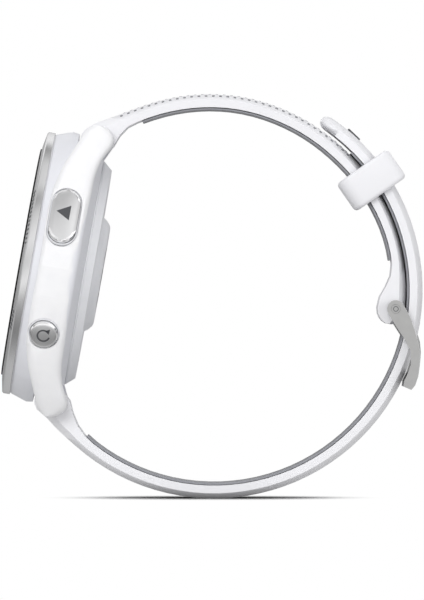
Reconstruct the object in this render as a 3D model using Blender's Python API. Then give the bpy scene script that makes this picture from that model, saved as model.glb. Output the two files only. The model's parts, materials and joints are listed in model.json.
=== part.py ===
"""GPS running watch, buckled into a loop and standing on the lowest point of its strap.

All sizes below are in millimetres and degrees; a mesh is scaled to metres when it becomes
an object. The watch head is drawn dial up in its own frame (+X to 3 o'clock, +Y to 12
o'clock, +Z out of the dial, Z = 0 at the bezel's underside). Straps and buckle are drawn
around the centre of the strap loop, in the world's XZ plane, with their width along Y.
"""
import math

import bmesh
import bpy
from mathutils import Matrix, Vector

MM = 0.001
SHARP_ANGLE = math.radians(32)

# ---- driving sizes of the watch head ----
BEZEL_RADIUS = 23.5
BEZEL_HEIGHT = 1.85
BEZEL_WALL_HEIGHT = 1.15
BEZEL_LEDGE = 0.2           # height of the ledge under the glass
BEZEL_SKIRT_WALL = 1.0
LENS_PROUD = 0.25
LENS_THICKNESS = 1.2
LENS_INSET = 3.2            # glass edge inside the bezel's rim
CASE_DEPTH = 9.3            # from the bezel's underside to the rear cover joint
COVER_THICKNESS = 1.36
SENSOR_RADIUS = 10.3
SENSOR_HEIGHT = 1.5
HEAD_TILT = 10.0            # the dial leans back by this much

# ---- clearances ----
GAP = 0.25                  # between stacked or nested fixed pieces
SEAT_GAP = 0.3              # round a piece that drops into a seat
SLIDE_GAP = 0.2             # round a sliding stem
LINER_GAP = 0.1             # between a strap and its liner
STACK_GAP = 0.25            # between the two strap ends where they lie together
CUT_SLACK = 0.05            # how far a cut runs past a face that it would only touch

# ---- case shell ----
SHELL_FRONT_INSET = 0.2     # case front edge inside the bezel's rim
SHELL_FLARE = 0.75          # widest case radius beyond the bezel's rim
SHELL_FLARE_DEPTH = 3.1
SHELL_LIP_DEPTH = 4.2
CASE_WALL = 4.5             # from the bezel radius in to the cavity wall
FRAME_LEDGE_DEPTH = 1.9
FRAME_LEDGE_WIDTH = 1.9
REAR_LEDGE_THICKNESS = 1.0
REAR_LEDGE_WIDTH = 5.6
GROOVE_OFFSET = 1.15        # middle of the gasket groove from the rear ledge's edge
GROOVE_WIDTH = 1.1
GROOVE_DEPTH = 0.5
COVER_LAP = 0.9             # rear cover beyond the cavity wall
POST_HEIGHT = 3.1           # screw posts above the rear ledge
POST_RADIUS = 2.0
THREAD_DEPTH = 2.0          # screw bores above the rear ledge

# ---- side band with the lugs ----
BAND_SIDE = 1.1             # how far the band stands outside the bezel radius at 3 o'clock
LUG_REACH = 2.5             # lug tips beyond the bezel radius
LUG_TIP_HALF_WIDTH = 15.0
BAND_CORNER = 1.5
BAND_TAPER_POWER = 1.94
# (share of the lug reach, front edge depth, rear edge depth)
BAND_EDGES = (
    (0.0, 1.2, 8.3), (0.2, 1.2, 8.3), (0.4, 1.25, 8.3), (0.53, 1.55, 8.3), (0.64, 2.2, 8.35),
    (0.71, 2.75, 8.6), (0.77, 3.4, 9.0), (0.83, 4.05, 9.75), (0.88, 4.6, 10.4),
    (0.92, 5.0, 10.5), (0.95, 5.4, 10.15), (0.98, 6.0, 9.4), (1.0, 6.8, 8.2),
)

# ---- spring bars ----
BAR_INSET = 0.2             # bar axis inside the bezel radius
BAR_DEPTH = 7.3
BOSS_RADIUS = 2.75
BAR_RADIUS = 1.0
BAR_BORE = 0.7
BAR_TIP_RADIUS = 0.5
BAR_TUBE_HALF = 9.4
BAR_TIP_REACH = 1.25        # how far a tip reaches into its lug, and the lever's travel
LEVER_OFFSET = 7.6
LEVER_RADIUS = 0.4
LEVER_LENGTH = 2.45

# ---- buttons ----
BUTTON_DEPTH = 4.35
BUTTON_TRAVEL = 0.6
BUTTON_PROUD = 0.8          # cap face beyond the band
CAP_RADIUS = 2.5
START_LENGTH = 10.0
START_WIDTH = 4.9
CAP_BEVEL = 0.5
POCKET_DEPTH = 3.0          # pocket floor inside the band
CAP_HEIGHT = 3.2
RECESS_RADIUS = 1.95
RECESS_FACE = 1.2           # cap thickness over the spring recess
STEM_RADIUS = 0.75
SEAL_RADIUS = 1.3
CLIP_RADIUS = 1.35
CLIP_THICKNESS = 0.3
STEM_INSET = 0.9            # stem's end inside the cavity wall
SWITCH_CLEARANCE = 0.3      # stem's end to its switch when pressed
BUTTONS = (
    ("start", 21.4), ("lap", -27.6), ("light", 152.4), ("up", 180.0), ("down", 207.6),
)

# ---- inside the head ----
BOARD_THICKNESS = 0.8
BOARD_DEPTH = 3.4
BATTERY_SIZE = (20.0, 17.0, 3.5)
BATTERY_Y = -3.0
MOTOR_PLACE = (5.2, 12.6)
MOTOR_RADIUS = 4.0
MOTOR_HEIGHT = 2.7
BEEPER_HEIGHT = 1.8
SCREW_INSET = 1.8           # screws inside the cavity wall
SCREW_HEAD_RADIUS = 1.05
SCREW_HEAD_HEIGHT = 0.65
SCREW_SHANK_RADIUS = 0.55
SCREW_LENGTH = 3.6
CONTACT_RADIUS = 0.6
CONTACT_PITCH = 2.2
CONTACT_Y = -12.0

# ---- strap loop ----
LOOP_RADIUS = 36.85         # outer face of the long strap
LOOP_X = 0.44
HEAD_SETBACK = 4.7          # bezel underside inside the loop's outer radius
HEAD_RISE = 4.64            # dial centre above the loop centre
STRAP_WIDTH = 22.0
STRAP_THICKNESS = 2.3
UPPER_LINER = 0.35
LOWER_LINER = 0.35
LUG_GAP = 0.35              # strap to lug, each side
EDGE_HEIGHT = 1.15          # bevel along the strap's outer edges
EDGE_WIDTH = 1.8
STATION_PITCH = 2.3
# (angle round the loop, outer face against LOOP_RADIUS, thickness beyond STRAP_THICKNESS)
UPPER_LIE = (
    (124.0, -0.9, 2.55), (120.5, -1.45, 0.9), (116.5, -1.85, 0.1), (111.0, -2.05, 0.0),
    (100.0, -2.2, 0.0), (84.0, -2.4, 0.0), (66.0, -2.75, 0.0), (45.0, None, 0.0),
    (30.0, None, -0.15), (14.0, None, -0.3), (8.0, None, -0.2), (4.0, None, 0.35),
    (1.0, None, 1.2), (-3.0, None, 2.3), (-6.0, None, 2.5),
)
UPPER_END_LENGTH = 3.3
LOWER_LIE = (
    (-142.5, 0.35, 2.7), (-139.5, 0.25, 1.8), (-136.0, 0.1, 0.8), (-131.0, 0.0, 0.1),
    (-126.0, 0.0, 0.0), (55.4, 0.0, 0.0),
)
LOWER_END_LENGTH = 1.6
TAIL_ROUND_LENGTH = 10.0
TAIL_TIP_SHARE = 0.55       # tip width against the strap's
UPPER_LINER_SPAN = (113.0, 9.5)
LOWER_LINER_SPAN = (-131.0, 45.0)
LINER_SIDE = 0.5            # liner edge inside the strap's edge

# ---- holes, measured along the loop from the angle 0, down the strap ----
HOLE_LENGTH = 3.2
HOLE_WIDTH = 2.6
HOLE_CORNER = 1.2
HOLE_PITCH = 6.5
HOLE_FIRST = -32.5
HOLE_COUNT = 13
USED_HOLE_LENGTH = 5.8
USED_HOLE = 6.9
USED_HOLE_INDEX = 6

# ---- buckle ----
PIN_ALONG = 3.85
PIN_HEIGHT = -4.6
PIN_RADIUS = 0.7
PIN_GAP = 0.12
STRAP_PIN_GAP = 0.25
BUCKLE_GAP = 0.4            # arm to strap edge
ARM_WIDTH = 1.8
# (along, height, width) down the side arm
ARM_LINE = (
    (6.16, -3.0, 2.95), (8.70, -1.2, 2.2), (10.76, 0.2, 1.6), (13.19, 1.1, 1.55),
    (14.85, 1.35, 1.9), (16.4, 1.4, 2.1), (17.35, 1.45, 1.5),
)
ARM_HEAD_RADIUS = 1.55
CROSSBAR_ALONG = 14.6
TONGUE_WIDTH = 2.0
TONGUE_GAP = 0.35
TONGUE_THICKNESS = 0.9
TONGUE_RING_RADIUS = 1.3
# (along, height) down the tongue's middle, after its ring
TONGUE_LINE = (
    (4.9, -3.33), (7.9, -0.4), (9.3, 0.4), (10.84, 1.0), (12.7, 1.5), (14.5, 1.85),
    (15.9, 1.85),
)
NOTCH_HEIGHT = 1.1

# ---- keeper ----
KEEPER_ANGLE = 34.8
KEEPER_LENGTH = 6.0
KEEPER_WALL = 2.15
KEEPER_SIDE_WALL = 1.55
KEEPER_GAP = 0.32
KEEPER_CORNER = 2.2
KEEPER_BEVEL = 0.75

# ---- mesh fineness ----
LATHE_STEPS = 56
SMALL_STEPS = 20
COIL_SIDES = 4
COIL_STEPS = 9

# ---- sizes that follow from the ones above ----
LOOP_Z = LOOP_RADIUS
LENS_RADIUS = BEZEL_RADIUS - LENS_INSET
HEAD_X = LOOP_X - LOOP_RADIUS + HEAD_SETBACK
HEAD_Z = LOOP_Z + HEAD_RISE
SHELL_RADIUS = BEZEL_RADIUS + SHELL_FLARE
CAVITY_RADIUS = BEZEL_RADIUS - CASE_WALL
SEAT_RADIUS = CAVITY_RADIUS + FRAME_LEDGE_WIDTH
REAR_LEDGE_RADIUS = CAVITY_RADIUS - REAR_LEDGE_WIDTH
GROOVE_RADIUS = REAR_LEDGE_RADIUS + GROOVE_OFFSET
SCREW_CIRCLE = CAVITY_RADIUS - SCREW_INSET
BAND_RADIUS = BEZEL_RADIUS + BAND_SIDE
LUG_TIP = BEZEL_RADIUS + LUG_REACH
BAR_Y = BEZEL_RADIUS - BAR_INSET
NOTCH_RADIUS = BOSS_RADIUS + SEAT_GAP
LUG_INNER = STRAP_WIDTH / 2 + LUG_GAP
STEM_END = CAVITY_RADIUS - STEM_INSET
SWITCH_REACH = STEM_END - BUTTON_TRAVEL - SWITCH_CLEARANCE
BOARD_RADIUS = SWITCH_REACH - SLIDE_GAP
BATTERY_TOP = -(BOARD_DEPTH + BOARD_THICKNESS + 2 * GAP)
COVER_TOP = -(CASE_DEPTH + SEAT_GAP)
COVER_BOTTOM = COVER_TOP - COVER_THICKNESS
SENSOR_BOTTOM = COVER_BOTTOM - SENSOR_HEIGHT
COVER_RADIUS = CAVITY_RADIUS + COVER_LAP
LENS_TOP = BEZEL_HEIGHT + LENS_PROUD
UPPER_OUTER = -(STRAP_THICKNESS + LINER_GAP + LOWER_LINER + STACK_GAP)
HALF_STRAP = STRAP_WIDTH / 2
BUCKLE_INNER = HALF_STRAP + BUCKLE_GAP
BUCKLE_OUTER = BUCKLE_INNER + ARM_WIDTH


# ---- scene helpers ----
def clear_scene():
    """Remove every object of the open file."""
    for thing in list(bpy.data.objects):
        bpy.data.objects.remove(thing, do_unlink=True)


def linear(code):
    """Turn a hex colour into linear RGBA."""
    shares = [int(code[i:i + 2], 16) / 255 for i in (1, 3, 5)]
    return [c / 12.92 if c <= 0.04045 else ((c + 0.055) / 1.055) ** 2.4 for c in shares] + [1.0]


def material(name, code, roughness, metallic=0.0):
    """Make a Principled material of one colour."""
    made = bpy.data.materials.new(name)
    made.use_nodes = True
    shader = made.node_tree.nodes["Principled BSDF"]
    shader.inputs["Base Color"].default_value = linear(code)
    shader.inputs["Roughness"].default_value = roughness
    shader.inputs["Metallic"].default_value = metallic
    made.diffuse_color = linear(code)
    return made


def frame(name, matrix, parent=None):
    """Add an empty that carries pieces drawn in its own axes."""
    empty = bpy.data.objects.new(name, None)
    bpy.context.collection.objects.link(empty)
    empty.parent = parent
    empty.matrix_basis = matrix
    return empty


def add_object(name, shape, parent, place):
    """Put a millimetre bmesh into the scene as an object in metres."""
    bmesh.ops.remove_doubles(shape, verts=shape.verts, dist=1e-5)
    bmesh.ops.recalc_face_normals(shape, faces=shape.faces)
    bmesh.ops.scale(shape, vec=(MM, MM, MM), verts=shape.verts)
    mesh = bpy.data.meshes.new(name)
    shape.to_mesh(mesh)
    shape.free()
    thing = bpy.data.objects.new(name, mesh)
    bpy.context.collection.objects.link(thing)
    thing.parent = parent
    thing.location = Vector(place) * MM
    return thing


def node(name, shape, surface, parent=None, place=(0, 0, 0)):
    """Add one sub-part with its material and shading."""
    thing = add_object(name, shape, parent, place)
    thing.data.materials.append(surface)
    thing.data.shade_smooth()
    thing.data.set_sharp_from_angle(angle=SHARP_ANGLE)
    return thing


def combine(target, label, shape, operation="DIFFERENCE", parent=None):
    """Cut a shape out of a node, or join it on, with a Boolean modifier."""
    tool = add_object(f"{target.name}_{label}", shape, parent or target.parent, (0, 0, 0))
    if parent is None:
        tool.location = target.location
    tool.hide_render = True
    tool.display_type = "WIRE"
    step = target.modifiers.new(label, "BOOLEAN")
    step.operation = operation
    step.solver = "EXACT"
    step.object = tool


# ---- shapes, all in millimetres ----
def skin(loops):
    """Close a row of equal point loops into one solid."""
    shape = bmesh.new()
    rings = [[shape.verts.new(point) for point in loop] for loop in loops]
    count = len(rings[0])
    for low, high in zip(rings, rings[1:]):
        for i in range(count):
            j = (i + 1) % count
            shape.faces.new((low[i], low[j], high[j], high[i]))
    shape.faces.new(rings[0][::-1])
    shape.faces.new(rings[-1])
    return shape


def lathe(profile, steps=LATHE_STEPS):
    """Turn (radius, z) points about Z: open if it starts and ends on the axis."""
    shape = bmesh.new()
    points = [shape.verts.new((radius, 0, z)) for radius, z in profile]
    pairs = list(zip(points, points[1:]))
    if profile[0][0] > 0:
        pairs.append((points[-1], points[0]))
    edges = [shape.edges.new(pair) for pair in pairs]
    bmesh.ops.spin(shape, geom=points + edges, cent=(0, 0, 0), axis=(0, 0, 1),
                   angle=math.tau, steps=steps, use_merge=True)
    bmesh.ops.remove_doubles(shape, verts=shape.verts, dist=1e-4)
    return shape


def prism(outline, low, high, axis="Z"):
    """Extrude a flat outline: (x, y) along Z, (y, z) along X or (x, z) along Y."""
    places = {"Z": lambda p, h: (p[0], p[1], h),
              "X": lambda p, h: (h, p[0], p[1]),
              "Y": lambda p, h: (p[0], h, p[1])}
    place = places[axis]
    return skin([[place(p, low) for p in outline], [place(p, high) for p in outline]])


def arc(centre, radius, start, end, steps):
    """Points along an arc, with angles in degrees."""
    turns = [math.radians(start + (end - start) * i / steps) for i in range(steps + 1)]
    return [(centre[0] + radius * math.cos(t), centre[1] + radius * math.sin(t)) for t in turns]


def circle(radius, centre=(0, 0), steps=SMALL_STEPS):
    """Points round a circle."""
    return arc(centre, radius, 0, 360 - 360 / steps, steps - 1)


def rounded_box(half_x, half_y, radius, steps=3, centre=(0, 0)):
    """Outline of a rectangle with round corners."""
    points = []
    for corner, (sx, sy) in enumerate(((1, 1), (-1, 1), (-1, -1), (1, -1))):
        middle = (centre[0] + sx * (half_x - radius), centre[1] + sy * (half_y - radius))
        points += arc(middle, radius, 90 * corner, 90 * corner + 90, steps)
    return points


def block(low, high):
    """A box between two corners."""
    outline = ((low[0], low[1]), (high[0], low[1]), (high[0], high[1]), (low[0], high[1]))
    return prism(outline, low[2], high[2])


def moved(shape, matrix):
    """Apply a matrix to a shape and hand it back."""
    bmesh.ops.transform(shape, matrix=matrix, verts=shape.verts)
    return shape


def along_x(shape):
    """Lay a shape made about Z along X."""
    return moved(shape, Matrix.Rotation(math.pi / 2, 4, "Y"))


def joined(shapes):
    """Gather separate solids in one bmesh."""
    gathered = bmesh.new()
    for shape in shapes:
        mesh = bpy.data.meshes.new("gathered")
        shape.to_mesh(mesh)
        shape.free()
        gathered.from_mesh(mesh)
        bpy.data.meshes.remove(mesh)
    return gathered


def coil(radius, wire, start, end, turns):
    """A spring along X between two stations."""
    loops = []
    count = turns * COIL_STEPS
    for i in range(count + 1):
        turn = math.tau * i / COIL_STEPS
        x = start + wire + (end - start - 2 * wire) * i / count
        loop = []
        for side in range(COIL_SIDES):
            lean = math.tau * side / COIL_SIDES
            reach = radius + wire * math.cos(lean)
            loop.append((x + wire * math.sin(lean), reach * math.cos(turn), reach * math.sin(turn)))
        loops.append(loop)
    return skin(loops)


def chamfer(shape, width, chosen):
    """Bevel the edges whose two ends pass a test."""
    edges = [e for e in shape.edges if all(chosen(v.co) for v in e.verts)]
    bmesh.ops.bevel(shape, geom=edges, offset=width, segments=2, profile=0.5, affect="EDGES")


def smooth_value(knots, column, x):
    """Read a smooth curve through the knots (x first) at x."""
    points = sorted((k[0], k[column]) for k in knots)
    if x <= points[0][0]:
        return points[0][1]
    if x >= points[-1][0]:
        return points[-1][1]
    i = max(k for k in range(len(points) - 1) if points[k][0] <= x)
    slopes = []
    for k in (i, i + 1):
        before, after = points[max(k - 1, 0)], points[min(k + 1, len(points) - 1)]
        left = (points[k][1] - before[1]) / max(points[k][0] - before[0], 1e-9)
        right = (after[1] - points[k][1]) / max(after[0] - points[k][0], 1e-9)
        slopes.append(0.0 if left * right <= 0 else 2 * left * right / (left + right))
    (x0, y0), (x1, y1) = points[i], points[i + 1]
    t, span = (x - x0) / (x1 - x0), x1 - x0
    return ((2 * t ** 3 - 3 * t ** 2 + 1) * y0 + (t ** 3 - 2 * t ** 2 + t) * span * slopes[0]
            + (3 * t ** 2 - 2 * t ** 3) * y1 + (t ** 3 - t ** 2) * span * slopes[1])


# ---- places ----
def head_matrix():
    """The dial-up frame of the watch head, stood up and leant back."""
    lean = math.radians(HEAD_TILT)
    columns = ((0, -1, 0), (math.sin(lean), 0, math.cos(lean)),
               (-math.cos(lean), 0, math.sin(lean)))
    turned = Matrix(columns).transposed().to_4x4()
    return Matrix.Translation(Vector((HEAD_X, 0, HEAD_Z)) * MM) @ turned


def head_point(x, y, z):
    """World place in millimetres of a point of the head's frame."""
    return head_matrix() @ (Vector((x, y, z)) * MM) / MM


def on_loop(along, height):
    """(x, z) at a distance down the strap from angle 0, and above its outer face."""
    turn = -along / LOOP_RADIUS
    radius = LOOP_RADIUS + height
    return LOOP_X + radius * math.cos(turn), LOOP_Z + radius * math.sin(turn)


def at_angle(angle, height):
    """(x, z) at an angle round the loop, and above its outer face."""
    return on_loop(-math.radians(angle) * LOOP_RADIUS, height)


def loop_place(x, z):
    """Angle and height of a world point seen from the loop's centre."""
    dx, dz = x - LOOP_X, z - LOOP_Z
    return math.degrees(math.atan2(dz, dx)), math.hypot(dx, dz) - LOOP_RADIUS


# ---- watch head ----
def band_half(y):
    """Half width of the band at a distance from the dial's centre line."""
    share = min(abs(y) / LUG_TIP, 1.0)
    return BAND_RADIUS - (BAND_RADIUS - LUG_TIP_HALF_WIDTH) * share ** BAND_TAPER_POWER


def band_radius(angle):
    """Radius of the band's outer face at a button's angle."""
    turn = math.radians(angle)
    radius = BAND_RADIUS
    for _ in range(8):
        radius = band_half(radius * math.sin(turn)) / abs(math.cos(turn))
    return radius


def build_case(head, surface):
    """Case: round shell and lugged band joined, then hollowed and pierced."""
    front = -GAP
    loops = []
    for side in (-1, 1):
        edges = BAND_EDGES[::-1] if side < 0 else BAND_EDGES[1:]
        for share, near, far in edges:
            y = side * share * LUG_TIP
            corner = min(BAND_CORNER, 0.45 * (far - near))
            outline = rounded_box(band_half(y), (far - near) / 2, corner, 3, (0, -(near + far) / 2))
            loops.append([(x, y, z) for x, z in outline])
    case = node("mid_case", skin(loops), surface, head)

    shell = ((0, front), (BEZEL_RADIUS - SHELL_FRONT_INSET, front),
             (SHELL_RADIUS, -SHELL_FLARE_DEPTH), (SHELL_RADIUS - 0.15, -SHELL_LIP_DEPTH),
             (SHELL_RADIUS - 0.85, -CASE_DEPTH + 2.3), (SHELL_RADIUS - 1.75, -CASE_DEPTH + 1.1),
             (COVER_RADIUS + 0.4, -CASE_DEPTH), (0, -CASE_DEPTH))
    combine(case, "shell", lathe(shell), "UNION")

    ledge_top = -CASE_DEPTH + REAR_LEDGE_THICKNESS
    cover_seat = -CASE_DEPTH - CUT_SLACK
    hollow = ((0, 1), (SEAT_RADIUS, 1), (SEAT_RADIUS, -FRAME_LEDGE_DEPTH),
              (CAVITY_RADIUS, -FRAME_LEDGE_DEPTH), (CAVITY_RADIUS, ledge_top),
              (REAR_LEDGE_RADIUS, ledge_top), (REAR_LEDGE_RADIUS, cover_seat),
              (COVER_RADIUS + SEAT_GAP, cover_seat), (COVER_RADIUS + SEAT_GAP, -CASE_DEPTH - 3),
              (0, -CASE_DEPTH - 3))
    combine(case, "hollow", lathe(hollow))

    posts = [prism(circle(POST_RADIUS, place), ledge_top + POST_HEIGHT, ledge_top - 0.5)
             for place in screw_places()]
    combine(case, "posts", joined(posts), "UNION")
    bores = [prism(circle(SCREW_SHANK_RADIUS + SEAT_GAP, place, 12), ledge_top + THREAD_DEPTH,
                   -CASE_DEPTH - 1) for place in screw_places()]
    combine(case, "bores", joined(bores))
    groove = ((GROOVE_RADIUS - GROOVE_WIDTH / 2, -CASE_DEPTH + GROOVE_DEPTH),
              (GROOVE_RADIUS + GROOVE_WIDTH / 2, -CASE_DEPTH + GROOVE_DEPTH),
              (GROOVE_RADIUS + GROOVE_WIDTH / 2, -CASE_DEPTH - 1),
              (GROOVE_RADIUS - GROOVE_WIDTH / 2, -CASE_DEPTH - 1))
    combine(case, "groove", lathe(groove))

    notches = []
    for side in (-1, 1):
        outline = [(LUG_TIP + 3, NOTCH_RADIUS - BAR_DEPTH), (BAR_Y, NOTCH_RADIUS - BAR_DEPTH)]
        outline += arc((BAR_Y, -BAR_DEPTH), NOTCH_RADIUS, 105, 180, 5)
        outline += [(BAR_Y - NOTCH_RADIUS, -CASE_DEPTH - 3), (LUG_TIP + 3, -CASE_DEPTH - 3)]
        mirrored = [(side * y, z) for y, z in outline]
        notches.append(prism(mirrored, -LUG_INNER, LUG_INNER, "X"))
    combine(case, "notches", joined(notches))
    reach = LUG_INNER + BAR_TIP_REACH + 0.5
    holes = [prism(circle(BAR_TIP_RADIUS + SLIDE_GAP, (side * BAR_Y, -BAR_DEPTH), 12),
                   -reach, reach, "X") for side in (-1, 1)]
    combine(case, "bar_holes", joined(holes))

    pockets, stems = [], []
    for name, angle in BUTTONS:
        turn = Matrix.Translation((0, 0, -BUTTON_DEPTH)) @ Matrix.Rotation(
            math.radians(angle), 4, "Z")
        floor = band_radius(angle) - POCKET_DEPTH
        pocket = prism(cap_outline(name, SEAT_GAP), floor, floor + 2 * POCKET_DEPTH, "X")
        bore = lathe(((0, floor + 1), (STEM_RADIUS + SLIDE_GAP, floor + 1),
                      (STEM_RADIUS + SLIDE_GAP, CAVITY_RADIUS + 1.4),
                      (SEAL_RADIUS + SLIDE_GAP, CAVITY_RADIUS + 1.4),
                      (SEAL_RADIUS + SLIDE_GAP, CAVITY_RADIUS - 1), (0, CAVITY_RADIUS - 1)), 12)
        pockets.append(moved(pocket, turn))
        stems.append(moved(along_x(bore), turn))
    combine(case, "button_pockets", joined(pockets))
    combine(case, "stem_bores", joined(stems))


def screw_places():
    """The four rear screws, on the diagonals."""
    spread = SCREW_CIRCLE / math.sqrt(2)
    return [(sx * spread, sy * spread) for sx in (-1, 1) for sy in (-1, 1)]


def cap_outline(name, extra):
    """(y, z) outline of a button cap, grown by a gap."""
    if name == "start":
        half = START_WIDTH / 2 + extra
        return rounded_box(START_LENGTH / 2 + extra, half, half - 0.01, 6)
    return circle(CAP_RADIUS + extra, steps=24)


def build_bezel(head, surface):
    """Bezel: sloped ring with a glass seat and a skirt that centres it in the case."""
    seat = LENS_RADIUS + SEAT_GAP
    skirt = SEAT_RADIUS - SEAT_GAP
    skirt_bottom = -FRAME_LEDGE_DEPTH + GAP
    profile = ((BEZEL_RADIUS, 0), (BEZEL_RADIUS, BEZEL_WALL_HEIGHT),
               (BEZEL_RADIUS - 0.2, BEZEL_WALL_HEIGHT + 0.2), (seat + 0.6, BEZEL_HEIGHT - 0.08),
               (seat, BEZEL_HEIGHT), (seat, BEZEL_LEDGE),
               (skirt - BEZEL_SKIRT_WALL, BEZEL_LEDGE),
               (skirt - BEZEL_SKIRT_WALL, skirt_bottom), (skirt, skirt_bottom), (skirt, 0))
    node("bezel_ring", lathe(profile), surface, head)


def build_lens(head, glass, rubber):
    """Cover glass with a softened rim, and the gasket below it."""
    bottom = LENS_TOP - LENS_THICKNESS
    edge = 0.18
    profile = ((0, LENS_TOP), (LENS_RADIUS - edge, LENS_TOP), (LENS_RADIUS, LENS_TOP - edge),
               (LENS_RADIUS, bottom), (0, bottom))
    node("lens", lathe(profile), glass, head)
    inner = SEAT_RADIUS - SEAT_GAP - BEZEL_SKIRT_WALL + GAP
    low = BEZEL_LEDGE + SLIDE_GAP
    gasket = ((inner, bottom - SLIDE_GAP), (LENS_RADIUS, bottom - SLIDE_GAP),
              (LENS_RADIUS, low), (inner, low))
    node("lens_gasket", lathe(gasket, 40), rubber, head)


def build_insides(head, skins):
    """Display, frame, board, battery and the small parts in the case."""
    frame_radius = SEAT_RADIUS - SEAT_GAP - BEZEL_SKIRT_WALL - SEAT_GAP
    display_top = LENS_TOP - LENS_THICKNESS - GAP
    display_bottom = -FRAME_LEDGE_DEPTH + 2 * GAP + 0.6
    node("display_panel", prism(circle(frame_radius - 0.7, steps=40), display_bottom,
                                display_top), skins["display"], head)
    node("inner_frame", prism(circle(frame_radius, steps=40), -FRAME_LEDGE_DEPTH + GAP,
                              display_bottom - GAP), skins["dark_plastic"], head)

    top = -BOARD_DEPTH
    board = node("main_board", prism(circle(BOARD_RADIUS, steps=40), top - BOARD_THICKNESS, top),
                 skins["board"], head)
    switches = []
    for _, angle in BUTTONS:
        switch = block((SWITCH_REACH - 1.8, -1.6, -1.0), (SWITCH_REACH, 1.6, 0.9))
        turn = Matrix.Translation((0, 0, -BUTTON_DEPTH)) @ Matrix.Rotation(
            math.radians(angle), 4, "Z")
        switches.append(moved(switch, turn))
    combine(board, "switches", joined(switches), "UNION")
    cans = [block((-10, -11, top - 0.2), (-1, -3, top + 0.9)),
            block((2, -12, top - 0.2), (9, -5, top + 0.7))]
    combine(board, "shield_cans", joined(cans), "UNION")
    node("gps_antenna", block((-4, 5, top + GAP), (4, 13, top + GAP + 1.0)),
         skins["ceramic"], head)

    long, wide, deep = BATTERY_SIZE
    node("battery", prism(rounded_box(long / 2, wide / 2, 2.0, 3, (0, BATTERY_Y)),
                          BATTERY_TOP - deep, BATTERY_TOP), skins["battery"], head)
    for name, side, height, radius in (("vibration_motor", 1, MOTOR_HEIGHT, MOTOR_RADIUS),
                                       ("beeper", -1, BEEPER_HEIGHT, MOTOR_RADIUS)):
        place = (side * MOTOR_PLACE[0], MOTOR_PLACE[1])
        node(name, prism(circle(radius, place, 28), BATTERY_TOP - height, BATTERY_TOP),
             skins["steel"], head)

    seal_foot = -CASE_DEPTH - 0.4 * SEAT_GAP
    seal = ((GROOVE_RADIUS - GROOVE_WIDTH / 2 + GAP, -CASE_DEPTH + GAP),
            (GROOVE_RADIUS + GROOVE_WIDTH / 2 - GAP, -CASE_DEPTH + GAP),
            (GROOVE_RADIUS + GROOVE_WIDTH / 2 - GAP, seal_foot),
            (GROOVE_RADIUS - GROOVE_WIDTH / 2 + GAP, seal_foot))
    node("rear_gasket", lathe(seal, 36), skins["rubber"], head)


def build_rear(head, skins):
    """Rear cover with the sensor ring, its window, board, screws and charging pins."""
    window = SENSOR_RADIUS - 3.3
    shelf = window - 0.7 + SEAT_GAP
    well = SENSOR_RADIUS - 1.3
    shelf_top = COVER_BOTTOM + 0.05
    shelf_bottom = shelf_top - 0.5
    profile = ((COVER_RADIUS, COVER_TOP), (COVER_RADIUS - 1.2, COVER_BOTTOM),
               (SENSOR_RADIUS, COVER_BOTTOM), (SENSOR_RADIUS - 0.55, SENSOR_BOTTOM + 0.75),
               (SENSOR_RADIUS - 1.25, SENSOR_BOTTOM + 0.15), (SENSOR_RADIUS - 1.7, SENSOR_BOTTOM),
               (window + SEAT_GAP, SENSOR_BOTTOM), (window + SEAT_GAP, shelf_bottom),
               (shelf, shelf_bottom), (shelf, shelf_top), (well, shelf_top), (well, COVER_TOP))
    cover = node("rear_cover", lathe(profile), skins["cover"], head)
    sunk = COVER_BOTTOM + SCREW_HEAD_HEIGHT + 2 * GAP / 1.7
    seats = []
    for place in screw_places():
        hole = lathe(((0, COVER_BOTTOM - 1), (SCREW_HEAD_RADIUS + GAP, COVER_BOTTOM - 1),
                      (SCREW_HEAD_RADIUS + GAP, sunk), (SCREW_SHANK_RADIUS + SLIDE_GAP, sunk),
                      (SCREW_SHANK_RADIUS + SLIDE_GAP, COVER_TOP + 1), (0, COVER_TOP + 1)), 12)
        seats.append(moved(hole, Matrix.Translation((*place, 0))))
    combine(cover, "screw_seats", joined(seats))
    spots = [((i - 1.5) * CONTACT_PITCH, CONTACT_Y) for i in range(4)]
    combine(cover, "contact_holes", joined([prism(circle(CONTACT_RADIUS + GAP, spot, 12),
                                                  COVER_BOTTOM - 1, COVER_TOP + 1)
                                            for spot in spots]))
    for i, spot in enumerate(spots, 1):
        node(f"charge_contact_{i}", prism(circle(CONTACT_RADIUS, spot, 12),
                                          COVER_BOTTOM + 0.15, COVER_TOP + 0.7),
             skins["gold"], head)

    head_top = sunk - 0.15
    head_face = head_top - SCREW_HEAD_HEIGHT
    for i, place in enumerate(screw_places(), 1):
        outline = ((0, head_face), (SCREW_HEAD_RADIUS - 0.15, head_face),
                   (SCREW_HEAD_RADIUS, head_face + 0.15), (SCREW_HEAD_RADIUS, head_top),
                   (SCREW_SHANK_RADIUS, head_top), (SCREW_SHANK_RADIUS, head_top + SCREW_LENGTH),
                   (0, head_top + SCREW_LENGTH))
        screw = node(f"cover_screw_{i}", lathe(outline, 12), skins["steel"], head, (*place, 0))
        combine(screw, "socket", prism(circle(0.5, steps=6), head_face - 0.5, head_face + 0.35))

    board_bottom = shelf_top + GAP + 0.15
    board = node("sensor_board", prism(circle(well - 0.5, steps=32), board_bottom,
                                       board_bottom + 0.6), skins["board"], head)
    emitters = [block((x - 0.8, y - 0.8, shelf_bottom + 0.15), (x + 0.8, y + 0.8,
                                                               board_bottom + 0.2))
                for x, y in ((0, 0), (4, 0), (-4, 0), (0, 4), (0, -4))]
    combine(board, "emitters", joined(emitters), "UNION")
    node("sensor_window", prism(circle(window, steps=40), SENSOR_BOTTOM + 0.05,
                                shelf_bottom - GAP), skins["glass"], head)


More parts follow.
